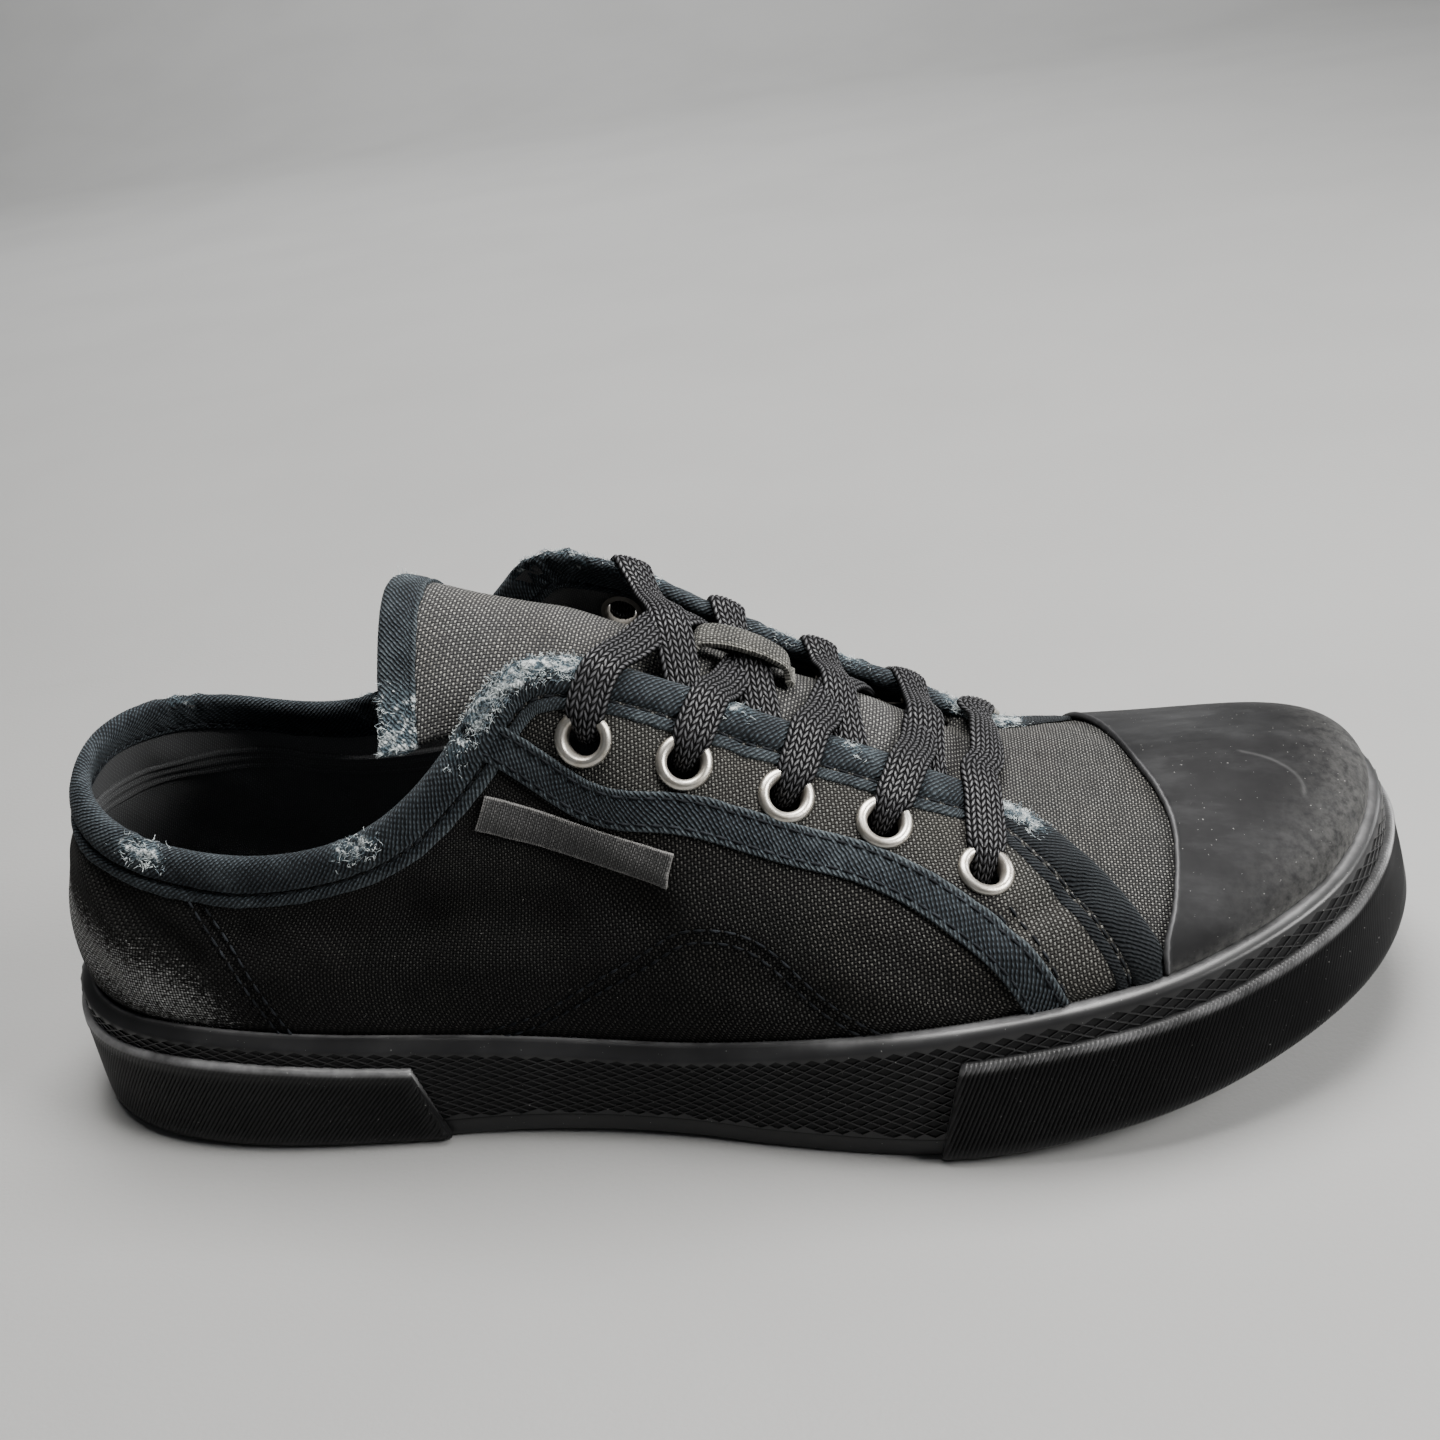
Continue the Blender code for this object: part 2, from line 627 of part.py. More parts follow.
def make_toe_cap():
    """Rubber cap: the shell's own form, just off it, cut behind a curved rear edge."""
    t = T_ROUND[(T_ROUND > CAP_FROM) & (T_ROUND < ROUND - CAP_FROM)]
    rows = [shell(t, v) for v in (CAP_FOOT,) + UPPER_ROWS[1:]]
    faces = grid_faces(len(rows), len(t))
    cap = mesh("toe_cap", np.concatenate(rows), faces, CAP_RUBBER)
    lift(cap, GAP)
    solidify(cap, CAP_THICK, 1.0)
    (x, y), (far_x, far_y) = CAP_EDGE[0], CAP_EDGE[-1]
    outline = list(CAP_EDGE) + [(far_x - TRIM_BACK, far_y), (x - TRIM_BACK, y)]
    sections = [np.array([(x, y, z) for x, y in outline]) for z in TRIM_HEIGHTS]
    boolean(cap, swept("cap_trim", sections, RUBBER, CUTTERS, smooth=False), "DIFFERENCE")
    return cap


def on_quarter(x, z):
    """t and v of the lateral quarter's point with this x and z, by Newton's method."""
    place = np.array((TAB_NEAR_T, TAB_NEAR_V))
    step = 1e-3
    for _ in range(20):
        miss = shell(*place)[[0, 2]] - (x, z)
        by_t = (shell(place[0] + step, place[1])[[0, 2]] - (x, z) - miss) / step
        by_v = (shell(place[0], place[1] + step)[[0, 2]] - (x, z) - miss) / step
        place -= np.linalg.solve(np.stack([by_t, by_v], 1), miss)
    return place


def make_tab():
    """Small woven tab that lies on the lateral quarter."""
    rows = []
    for ends in (TAB_FOOT, TAB_TOP):
        places = [np.array(ends[0]) * (1 - run) + np.array(ends[1]) * run
                  for run in np.linspace(0.0, 1.0, TAB_STEPS + 1)]
        rows.append(np.array([shell(*on_quarter(x, z)) for x, z in places]))
    tab = mesh("side_tab", np.concatenate(rows), grid_faces(2, TAB_STEPS + 1), SATIN)
    lift(tab, 2 * GAP)
    solidify(tab, TAB_THICK, 1.0)
    return tab


# ---------------------------------------------------------------- tongue, keeper, lace
def tongue_point(x, across):
    """Upper face of the tongue: across is -1 at its lateral side and 1 at its medial."""
    columns = dict(zip(TONGUE_COLUMNS, np.array(TONGUE)[::-1].T))
    crown, half, fall, raised = (np.interp(x, columns["x"], columns[name])
                                 for name in ("crown", "half", "fall", "lift"))
    middle = np.interp(x, SWING_X, SWING_Y)
    z = crown - fall * np.abs(across) ** TONGUE_CURVE + raised * across
    return np.array([x, middle + half * across, z])


def make_tongue():
    """Canvas tongue, arched across, standing up past the top eyelets."""
    stations = (len(TONGUE) - 1) * TONGUE_ALONG + 1
    places = np.interp(np.arange(stations) / TONGUE_ALONG, np.arange(len(TONGUE)),
                       [row[0] for row in TONGUE])
    shares = np.linspace(-1.0, 1.0, TONGUE_ACROSS + 1)
    rows = [np.array([tongue_point(x, share) for share in shares]) for x in places]
    faces = grid_faces(len(rows), TONGUE_ACROSS + 1)
    tongue = mesh("tongue", np.concatenate(rows), faces, CANVAS)
    solidify(tongue, TONGUE_THICK, -1.0)
    return tongue


def strip(name, route, width, thick, mat, collection=None):
    """A flat strip along a route of (point, face normal) pairs."""
    points = np.array([p for p, _ in route])
    sections = []
    for i, (point, normal) in enumerate(route):
        ahead = points[min(i + 1, len(points) - 1)] - points[max(i - 1, 0)]
        across = np.cross(ahead, normal)
        across /= np.linalg.norm(across)
        up = np.cross(across, ahead)
        up /= np.linalg.norm(up)
        section = [point + across * a * width / 2 + up * b * thick / 2
                   for a, b in ((-1, -1), (1, -1), (1, 1), (-1, 1))]
        sections.append(np.array(section))
    return swept(name, sections, mat, collection, smooth=False)


def smooth_route(knots, steps):
    """Points on a smooth curve through the knots, each a (point, normal) pair."""
    points = np.array([np.concatenate([p, n]) for p, n in knots])
    ends = np.concatenate([[2 * points[0] - points[1]], points, [2 * points[-1] - points[-2]]])
    route = []
    for i in range(1, len(ends) - 2):
        a, b, c, d = ends[i - 1:i + 3]
        for u in np.arange(steps) / steps:
            value = 0.5 * (2 * b + (c - a) * u + (2 * a - 5 * b + 4 * c - d) * u**2
                           + (3 * b - a - 3 * c + d) * u**3)
            route.append((value[:3], value[3:]))
    route.append((points[-1, :3], points[-1, 3:]))
    return route


def tongue_normal(x, across):
    """Upward unit normal of the tongue."""
    run = tongue_point(x + 1.0, across) - tongue_point(x - 1.0, across)
    width = tongue_point(x, across + 0.02) - tongue_point(x, across - 0.02)
    n = np.cross(run, width)
    return n / np.linalg.norm(n)


def rim_place(x):
    """t where the lateral edge of the throat passes x."""
    t = np.linspace(EYELETS[0][0], THROAT_END + 1.0, 80)
    return np.interp(x, TOP_X(t), t)


def over_rim(eyelet, sign, rim_x, clear):
    """Points of a strand from above an eyelet to the throat's edge; sign -1 is lateral."""
    t, v = EYELETS[eyelet]
    rim = rim_place(rim_x)
    points = []
    for share in (LACE_START, (1 + LACE_START) / 2, 1.0):
        place = t + (rim - t) * share
        place = ROUND - place if sign > 0 else place
        up = v + (1.0 - v) * share
        normal = shell_normal(place, min(up, 0.95)) + np.array((0.0, 0.0, LACE_BEND * share**4))
        points.append(shell(place, up) + normal / np.linalg.norm(normal) * clear)
    return points


def over_tongue(places):
    """Points over the tongue, from x, share across and height, with the way up there."""
    points = [tongue_point(x, across) + tongue_normal(x, across) * height
              for x, across, height in places]
    return points, [tongue_normal(x, across) for x, across, _ in places]


def flat_on_rim(points, count):
    """Ways up that keep the first points' width in line with the throat's edge."""
    slope = np.array((1.0, 0.0, RIM_SLOPE))
    ways = []
    for i in range(count):
        ahead = points[i + 1] - points[max(i - 1, 0)]
        up = np.cross(slope, ahead)
        ways.append(up / np.linalg.norm(up) * math.copysign(1.0, up[2]))
    return ways


def strand(number, sign):
    """Knots of one strand of a crossing, from an eyelet to just short of the far edge."""
    near = shell(*EYELETS[number])[0] + RIM_LEAD
    far, extra = CROSSINGS[number]
    first = over_rim(number, sign, near, LACE_CLEAR)
    places = [(near + (far - near) * share, sign * across, height + extra)
              for share, across, height in STRAND]
    second, ways = over_tongue(places)
    points = first + second
    return list(zip(points, flat_on_rim(points, len(first)) + ways))


def make_lace():
    """One straight bar at the bottom pair and four crossings over the tongue."""
    for number in range(len(CROSSINGS)):
        first = smooth_route(strand(number, -1), 2)
        second = smooth_route(strand(number, 1), 2)
        cross = strip(f"lace_cross_{number + 1}", first, LACE_WIDTH, LACE_THICK, BRAID)
        other = strip(f"lace_over_{number + 1}", second, LACE_WIDTH, LACE_THICK, BRAID, CUTTERS)
        boolean(cross, other, "UNION")
    last = len(EYELETS) - 1
    lateral, medial = (over_rim(last, sign, STRAIGHT_X, STRAIGHT_CLEAR) for sign in (-1, 1))
    middle, ways = over_tongue([(STRAIGHT_X, across, STRAIGHT_HEIGHT)
                                for across in STRAIGHT_ACROSS])
    ways = (flat_on_rim(lateral + middle, len(lateral)) + ways
            + flat_on_rim(medial + middle, len(medial))[::-1])
    knots = list(zip(lateral + middle + medial[::-1], ways))
    strip("lace_bar", smooth_route(knots, 2), LACE_WIDTH, LACE_THICK, BRAID)


def make_keeper():
    """Canvas loop sewn to the tongue at both ends, arched over the second crossing."""
    places = [(KEEPER_X + share * KEEPER_HALF, 0.0, height) for share, height in KEEPER_ARCH]
    knots = list(zip(*over_tongue(places)))
    strip("lace_keeper", smooth_route(knots, 2), KEEPER_WIDTH, KEEPER_THICK, CANVAS)


make_outsole()
make_foxing()
make_bumper("toe_bumper", TOE_BUMPER, RUBBER)
make_bumper("heel_bumper", HEEL_BUMPER, RUBBER)
make_insole()
make_upper()
make_eyelets()
make_toe_cap()
make_tab()
make_tongue()
make_lace()
make_keeper()
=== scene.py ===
"""A worn low-cut canvas sneaker with a vulcanised rubber sole, the right shoe.

+X is the toe, -Y the outer (lateral) side, +Z up. Lengths are in millimetres until
a mesh is laid. A place round the shoe is t, from 0 at the heel's back along the lateral
side to 14 at the toe tip and 28 at the heel again. A place up the canvas is v, from 0 at
the foxing's top edge to 1 at the collar, the throat's edge or the toe box's ridge.
"""

import math

import bmesh
import bpy
import numpy as np
from mathutils import Matrix, Vector


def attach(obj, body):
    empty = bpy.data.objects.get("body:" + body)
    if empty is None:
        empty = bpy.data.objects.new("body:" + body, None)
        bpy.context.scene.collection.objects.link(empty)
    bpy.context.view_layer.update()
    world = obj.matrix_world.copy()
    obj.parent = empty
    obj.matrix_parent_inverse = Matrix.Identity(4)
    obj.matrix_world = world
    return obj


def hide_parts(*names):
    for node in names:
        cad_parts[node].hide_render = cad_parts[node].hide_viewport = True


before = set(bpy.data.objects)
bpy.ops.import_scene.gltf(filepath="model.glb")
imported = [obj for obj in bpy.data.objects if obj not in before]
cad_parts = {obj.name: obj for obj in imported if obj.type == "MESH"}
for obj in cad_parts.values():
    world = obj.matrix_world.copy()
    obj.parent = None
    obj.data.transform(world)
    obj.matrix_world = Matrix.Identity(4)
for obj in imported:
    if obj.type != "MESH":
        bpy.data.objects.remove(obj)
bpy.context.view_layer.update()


# ---------- studio
# A pale cove, bent up behind, stands under one large soft lamp high over the far side of
# the shoe. A weak broad lamp fills the near side, and two narrow ones at the toe end, one
# near and one far, draw the line of light on the rubber.
MM = 0.001
CAMERA_AT = (0.0624, -0.2933, 0.2210)
CAMERA_YAW, CAMERA_PITCH, CAMERA_ROLL = (math.radians(a) for a in (-10.35, 26.28, -9.28))
CAMERA_LENS = 40.02
COVE_HALF, COVE_BACK, COVE_HIGH, COVE_BEND = 4.0, 3.2, 3.0, 1.2
COVE_COLOUR = (0.235, 0.235, 0.232)


class Value:
    """One output of a shader node. Arithmetic on it adds the Math nodes."""

    def __init__(self, finish, socket):
        self.finish = finish
        self.socket = socket

    def maths(self, operation, *others):
        return self.finish.maths(operation, self, *others)

    def __add__(self, other):
        return self.maths("ADD", other)

    def __sub__(self, other):
        return self.maths("SUBTRACT", other)

    def __rsub__(self, other):
        return self.finish.maths("SUBTRACT", other, self)

    def __mul__(self, other):
        return self.maths("MULTIPLY", other)

    def __truediv__(self, other):
        return self.maths("DIVIDE", other)

    def __pow__(self, other):
        return self.maths("POWER", other)

    def __abs__(self):
        return self.maths("ABSOLUTE")

    def __gt__(self, other):
        return self.maths("GREATER_THAN", other)

    __radd__ = __add__
    __rmul__ = __mul__

    def rise(self, low, high):
        """0 below low and 1 above high, with a soft step between them."""
        return self.finish.node("ShaderNodeMapRange", {"interpolation_type": "SMOOTHSTEP"},
                                {"Value": self, "From Min": low, "From Max": high})


class Finish:
    """A material, its node tree and the ways to add to it."""

    def __init__(self, name):
        self.material = bpy.data.materials.new(name)
        self.material.use_nodes = True
        self.tree = self.material.node_tree
        self.shader = self.tree.nodes["Principled BSDF"]

    def node(self, kind, settings=None, sockets=None, output=0):
        """Add any node: its settings first, then the values or links of its sockets."""
        node = self.tree.nodes.new(kind)
        for key, value in (settings or {}).items():
            setattr(node, key, value)
        for key, value in (sockets or {}).items():
            self.plug(node.inputs[key], value)
        return Value(self, node.outputs[output])

    def plug(self, socket, value):
        if isinstance(value, Value):
            self.tree.links.new(value.socket, socket)
        elif socket.type == "RGBA" and len(value) == 3:
            socket.default_value = (*value, 1.0)
        else:
            socket.default_value = value

    def maths(self, operation, *values):
        return self.node("ShaderNodeMath", {"operation": operation}, dict(enumerate(values)))

    def vector(self, operation, *values):
        return self.node("ShaderNodeVectorMath", {"operation": operation},
                         dict(enumerate(values)))

    def place(self):
        """The point in the shoe's own frame, in metres."""
        return self.node("ShaderNodeTexCoord", output="Object")

    def flat(self):
        """The point on the piece's own flat pattern, in millimetres: x and y."""
        split = self.node("ShaderNodeSeparateXYZ", None,
                          {0: self.node("ShaderNodeUVMap", {"uv_map": "UVMap"})})
        return split, Value(self, split.socket.node.outputs[1])

    def joined(self, x, y):
        return self.node("ShaderNodeCombineXYZ", None, {0: x, 1: y})

    def mark(self, name):
        """A value laid on the mesh under that name."""
        return self.node("ShaderNodeAttribute", {"attribute_name": name}, output="Fac")

    def noise(self, at, scale, detail=3.0, roughness=0.55):
        return self.node("ShaderNodeTexNoise", None, {
            "Vector": at, "Scale": scale, "Detail": detail, "Roughness": roughness})

    def grain(self, scale, detail=3.0, roughness=0.55):
        """Noise that is fixed in the shoe's own frame."""
        return self.noise(self.place(), scale, detail, roughness)

    def blend(self, share, first, second):
        """Colour between first and second by share."""
        return self.node("ShaderNodeMix", {"data_type": "RGBA"},
                         {0: share, 6: first, 7: second}, 2)

    def bump(self, height, distance, strength=1.0):
        return self.node("ShaderNodeBump", None, {
            "Height": height, "Distance": distance, "Strength": strength})

    def coat(self, **sockets):
        """Set the shader's own sockets and hand back the finished material."""
        for key, value in sockets.items():
            self.plug(self.shader.inputs[key.replace("_", " ")], value)
        return self.material


def floor_finish():
    """Matt painted board."""
    paint = Finish("pale floor")
    cloud = paint.grain(6.0, 4.0)
    grain = paint.grain(900.0, 2.0)
    return paint.coat(
        Base_Color=paint.blend(cloud.rise(0.35, 0.7), COVE_COLOUR,
                               tuple(c * 0.95 for c in COVE_COLOUR)),
        Roughness=grain * 0.1 + 0.62, Normal=paint.bump(grain, 0.00008))


def bell(x, half):
    """1 where x is 0, falling off smoothly on both sides of it."""
    return np.exp(-(x / half) ** 2)


def held(x):
    """x, held between 0 and 1."""
    return np.clip(x, 0.0, 1.0)


def mode(name):
    """Go in or out of edit mode."""
    bpy.ops.object.mode_set(mode=name)


def placed(name, data):
    """A new object in the scene."""
    ob = bpy.data.objects.new(name, data)
    bpy.context.scene.collection.objects.link(ob)
    return ob


def only(piece):
    """Make a piece the only one chosen."""
    bpy.ops.object.select_all(action="DESELECT")
    piece.select_set(True)
    bpy.context.view_layer.objects.active = piece


def chosen(piece, kind, choice):
    """Open a piece in edit mode with these of its faces or edges chosen."""
    only(piece)
    mode("EDIT")
    bpy.ops.mesh.select_mode(type=kind)
    bpy.ops.mesh.select_all(action="DESELECT")
    mode("OBJECT")
    elements = piece.data.polygons if kind == "FACE" else piece.data.edges
    elements.foreach_set("select", choice)
    mode("EDIT")


def finished(piece, kind, **settings):
    """Add a modifier, set it and apply it."""
    only(piece)
    modifier = piece.modifiers.new(kind.lower(), kind)
    for key, value in settings.items():
        setattr(modifier, key, value)
    bpy.ops.object.modifier_apply(modifier=modifier.name)


def make_cove():
    bpy.ops.object.select_all(action="DESELECT")
    bpy.ops.mesh.primitive_plane_add(size=2 * COVE_HALF, location=(0.0, 0.0, 0.0))
    cove = bpy.context.object
    cove.name = "studio_floor"
    for vert in cove.data.vertices:
        vert.co.y = -COVE_HALF if vert.co.y < 0 else COVE_BACK
    chosen(cove, "EDGE", [all(cove.data.vertices[i].co.y > 0 for i in edge.vertices)
                          for edge in cove.data.edges])
    bpy.ops.mesh.extrude_region_move(TRANSFORM_OT_translate={"value": (0, 0, COVE_HIGH)})
    mode("OBJECT")
    finished(cove, "BEVEL", width=COVE_BEND, segments=24, angle_limit=math.radians(30))
    bpy.ops.object.shade_smooth()
    cove.data.materials.append(floor_finish())


def make_lamp(name, at, aim, size, watts, colour):
    """A square soft lamp at a point, turned to another."""
    lamp = bpy.data.lights.new(name, "AREA")
    lamp.size, lamp.energy, lamp.color = size, watts, colour
    turn = (Vector(aim) - Vector(at)).to_track_quat("-Z", "Y").to_matrix().to_4x4()
    placed(name, lamp).matrix_world = Matrix.Translation(at) @ turn


def make_camera():
    """Stand the camera at the viewing angle, rolled as it was."""
    yaw, pitch, roll = CAMERA_YAW, CAMERA_PITCH, CAMERA_ROLL
    ahead = Vector((math.sin(yaw) * math.cos(pitch), math.cos(yaw) * math.cos(pitch),
                    -math.sin(pitch)))
    level = Vector((math.cos(yaw), -math.sin(yaw), 0.0))
    above = level.cross(ahead)
    right = math.cos(roll) * level + math.sin(roll) * above
    up = -math.sin(roll) * level + math.cos(roll) * above
    camera = bpy.data.cameras.new("camera")
    camera.lens, camera.sensor_width = CAMERA_LENS, 36.0
    camera.clip_start, camera.clip_end = 0.02, 50.0
    ob = placed("camera", camera)
    ob.matrix_world = (Matrix.Translation(CAMERA_AT)
                       @ Matrix((right, up, -ahead)).transposed().to_4x4())
    bpy.context.scene.camera = ob


make_cove()
make_lamp("key lamp", (0.02, 0.26, 1.15), (0.02, 0.02, 0.05), 0.70, 40.0, (1.0, 0.985, 0.965))
make_lamp("near fill", (-0.5, -1.6, 0.9), (0.0, 0.0, 0.05), 1.2, 1.2, (0.93, 0.96, 1.0))
make_lamp("toe lamp", (0.95, -0.25, 0.62), (0.1, 0.0, 0.04), 0.45, 24.0, (1.0, 0.99, 0.97))
make_lamp("rim lamp", (0.98, 0.52, 0.42), (0.13, 0.0, 0.04), 0.35, 5.0, (1.0, 1.0, 1.0))
make_lamp("back lamp", (-0.4, 1.25, 1.7), (-0.7, 3.2, 0.5), 1.6, 105.0, (1.0, 1.0, 1.0))
world = bpy.data.worlds.new("studio air")
world.use_nodes = True
air = world.node_tree.nodes["Background"].inputs
air["Color"].default_value, air["Strength"].default_value = (0.80, 0.84, 0.90, 1.0), 0.05
bpy.context.scene.world = world
make_camera()


# ---------- quarters
# The two sides and the heel, one panel of plain-woven cotton canvas here, pulled over the
# last and glued to a drill lining. Its folds and hollows come from wear. Its front edges
# lie on the vamp, and ten round holes take the eyelets.
LAST_COLUMNS = ("x", "lat", "med", "fox", "lean", "lx", "ly", "lz", "mx", "my", "mz",
                "rise", "flare", "drop", "out")
LAST = (
    (-142.5,  0.0,  0.0, 31.0, -1.0, -131.5,  0.0, 79.0, -131.5,  0.0,  79.0, 20, 3.0, 16,  6),
    (-133.0, 22.0, 21.0, 29.5, -0.5, -125.0, 16.5, 74.5, -125.0, 17.5,  80.0, 17, 3.5, 13,  6),
    (-108.0, 34.0, 32.0, 29.0,  0.0, -108.0, 26.5, 68.5, -107.0, 28.5,  74.0, 15, 3.0, 11,  5),
    (-76.0,  36.5, 33.0, 26.5,  0.0,  -83.0, 32.0, 66.3,  -83.0, 31.5,  70.0, 14, 3.0, 11,  4),
    (-42.0,  36.0, 29.0, 24.0,  0.0,  -58.0, 32.5, 71.5,  -59.0, 32.0,  80.0, 16, 3.0, 13,  5),
    (-10.0,  38.5, 29.0, 22.5,  0.0,  -38.0, 27.0, 87.0,  -38.5, 27.0,  97.0, 22, 4.0, 18,  9),
    (8.0,    41.5, 31.5, 23.5,  0.0,  -19.0, 20.5, 99.5,  -20.0, 21.0, 104.5, 25, 4.0, 14, 14),
    (26.0,   45.0, 36.5, 26.0,  0.0,   15.0, 16.5, 83.5,   15.0, 16.5,  86.5, 22, 4.0, 10, 14),
    (47.0,   47.7, 42.5, 29.0,  0.3,   38.0, 16.0, 72.0,   38.0, 16.0,  73.5, 18, 3.5,  8, 14),
    (68.0,   47.6, 46.5, 31.5,  1.0,   58.0, 15.0,  61.1,   58.0, 15.0,  61.1, 15, 3.0,  6, 14),
    (90.0,   44.0, 48.0, 33.8,  2.0,   70.0,  0.0,  57.4,   70.0,  0.0,  57.4, 12, 3.0,  0, 14),
    (110.0,  35.5, 47.0, 36.5,  3.0,   82.0,  0.0,  55.6,   82.0,  0.0,  55.6, 11, 3.0,  0, 14),
    (128.0,  22.0, 42.0, 40.0,  3.6,   94.0,  0.0,  55.4,   94.0,  0.0,  55.4, 10, 3.0,  0, 12),
    (139.0,   4.5, 30.0, 43.3,  4.0,  102.0,  0.0,  55.6,  102.0,  0.0,  55.6,  9, 3.0,  0, 12),
    (142.3, -12.8, 12.8, 44.4,  4.0,  105.0,  0.0,  55.7,  105.0,  0.0,  55.7,  9, 3.0,  0, 12),
)
TOE = len(LAST) - 1
ROUND = 2 * TOE
THROAT_END = 9         # t where the throat's edges start to draw together
THROAT_CLOSED = THROAT_END + 1
RIDGE_REACH = 0.46
SWING_X, SWING_Y = (-142.5, -60.0, 20.0, 105.0, 142.5), (0.0, -1.0, 0.0, 5.5, 8.5)
TOE_SPRING, SPRING_FROM, SPRING_TO, SPRING_POWER = 21.0, 48.0, 146.0, 1.45
ARCH_RISE, ARCH_X, ARCH_HALF = 1.0, -22.0, 34.0
EYELETS = ((5.92, 0.765), (6.54, 0.735), (7.20, 0.730), (8.04, 0.714), (8.86, 0.600))
HOLE = 4.2
CANVAS_LIFT, CANVAS_THICK = 0.7, 1.9
QUARTER_COLUMNS, QUARTER_ROWS = 530, 70
QUARTER_FOOT = -0.32
FOOT_DROP = 20.0       # depth in mm that v spans below the foxing's top
# Front edge of the quarters: v, then t on the lateral side.
FRONT_EDGE = ((-0.4, 10.10), (0.03, 10.10), (0.19, 10.06), (0.33, 9.98), (0.47, 9.88),
              (0.58, 9.74), (0.69, 9.58), (0.825, 9.30), (0.93, 9.10), (1.0, 8.98))
# Folds worn into the canvas: t and v of both ends, half width and height in mm.
FOLDS = (
    (8.86, 0.36, 9.62, 0.43, 2.4, -0.9), (8.90, 0.27, 9.66, 0.33, 3.2, 0.5),
    (8.86, 0.47, 9.50, 0.53, 3.2, 0.4), (9.98, 0.60, 10.75, 0.80, 3.0, -0.5),
    (2.70, 0.62, 3.94, 0.60, 6.0, -1.5), (3.94, 0.60, 4.78, 0.45, 6.5, -1.4),
    (4.78, 0.45, 5.60, 0.39, 5.5, -0.9), (2.9, 0.38, 4.4, 0.36, 7.0, 0.9),
    (6.98, 0.86, 6.74, 0.62, 2.0, -0.8), (6.60, 0.86, 6.36, 0.64, 2.6, -0.5),
    (1.54, 0.72, 2.20, 0.42, 3.6, -1.0), (1.10, 0.70, 1.70, 0.40, 3.6, 0.7),
    (2.66, 0.74, 3.20, 0.50, 4.0, 0.8), (0.55, 0.50, 1.35, 0.20, 4.0, -0.8),
    (0.40, 0.72, 1.20, 0.55, 3.4, -0.7), (5.05, 0.62, 5.62, 0.36, 5.0, -0.8),
    (7.6, 0.30, 8.5, 0.10, 4.0, -0.6), (6.1, 0.22, 7.1, 0.14, 4.5, -0.5),
    (26.9, 0.70, 26.1, 0.42, 3.8, -1.0), (25.6, 0.60, 24.2, 0.56, 6.0, -1.3),
    (24.2, 0.56, 23.0, 0.42, 6.0, -1.0), (22.9, 0.66, 22.4, 0.36, 5.0, -0.7),
    (19.10, 0.36, 18.40, 0.42, 2.4, -1.3), (19.1, 0.27, 18.4, 0.32, 3.0, 0.8),
    (18.0, 0.60, 17.3, 0.80, 3.0, -0.5), (20.4, 0.30, 19.6, 0.12, 4.0, -0.6),
    (27.4, 0.50, 26.7, 0.20, 4.0, -0.8), (21.4, 0.70, 21.2, 0.46, 2.4, -0.7),
)
# Seams in the quarters: places along each, lateral side.
ARC_SEAM = ((3.98, 0.0), (4.22, 0.06), (4.84, 0.22), (5.56, 0.28), (6.10, 0.30), (6.64, 0.275),
            (7.10, 0.12), (7.52, 0.0))
COUNTER_SEAM = ((2.28, 0.90), (2.38, 0.69), (2.54, 0.36), (2.68, 0.0))
SEAM_SINK, SEAM_HALF = 0.35, 1.3
CANVAS_TOP, CANVAS_DEEP = (0.124, 0.123, 0.115), (0.0036, 0.0036, 0.0037)
LINING_COLOUR = (0.125, 0.127, 0.130)


def closed_spline(values):
    """A smooth closed curve through values at 0, 1, 2 and so on."""
    count = len(values)
    shift = np.eye(count)
    matrix = 4 * shift + np.roll(shift, 1, 0) + np.roll(shift, -1, 0)
    slope = np.linalg.solve(matrix, 3 * (np.roll(values, -1) - np.roll(values, 1)))

    def value(t):
        t = np.asarray(t, float) % count
        i = np.floor(t).astype(int) % count
        j = (i + 1) % count
        u = t - np.floor(t)
        return (values[i] * (2 * u**3 - 3 * u**2 + 1) + slope[i] * (u**3 - 2 * u**2 + u)
                + values[j] * (3 * u**2 - 2 * u**3) + slope[j] * (u**3 - u**2))
    return value


def round_the_last(lateral, medial, sign=1.0):
    """Spline once round, from a column for each side."""
    table = np.array(LAST, float)
    first = sign * table[:, LAST_COLUMNS.index(lateral)]
    second = table[:, LAST_COLUMNS.index(medial)]
    return closed_spline(np.concatenate([first, second[-2:0:-1]]))


PLAN_X, PLAN_Y = round_the_last("x", "x"), round_the_last("lat", "med", -1.0)
FOX_TOP, LEAN = round_the_last("fox", "fox"), round_the_last("lean", "lean")
TOP_X, TOP_GAP = round_the_last("lx", "mx"), round_the_last("ly", "my", -1.0)
TOP_Z = round_the_last("lz", "mz")
RISE, FLARE = round_the_last("rise", "rise"), round_the_last("flare", "flare")
DROP, OUT = round_the_last("drop", "drop"), round_the_last("out", "out")


def along(t):
    """How far t is from the heel's back, along either side."""
    t = np.asarray(t, float) % ROUND
    return np.minimum(t, ROUND - t)


def plan(t):
    """The plan line of the upper, at the sole."""
    return np.stack([PLAN_X(t), PLAN_Y(t)], -1)


def unit(vectors):
    return vectors / np.maximum(np.linalg.norm(vectors, axis=-1, keepdims=True), 1e-9)


def outward(t):
    """Level unit vector that leaves the plan line at t."""
    run = unit(plan(t + 1e-3) - plan(t - 1e-3))
    return np.stack([run[..., 1], -run[..., 0]], -1)


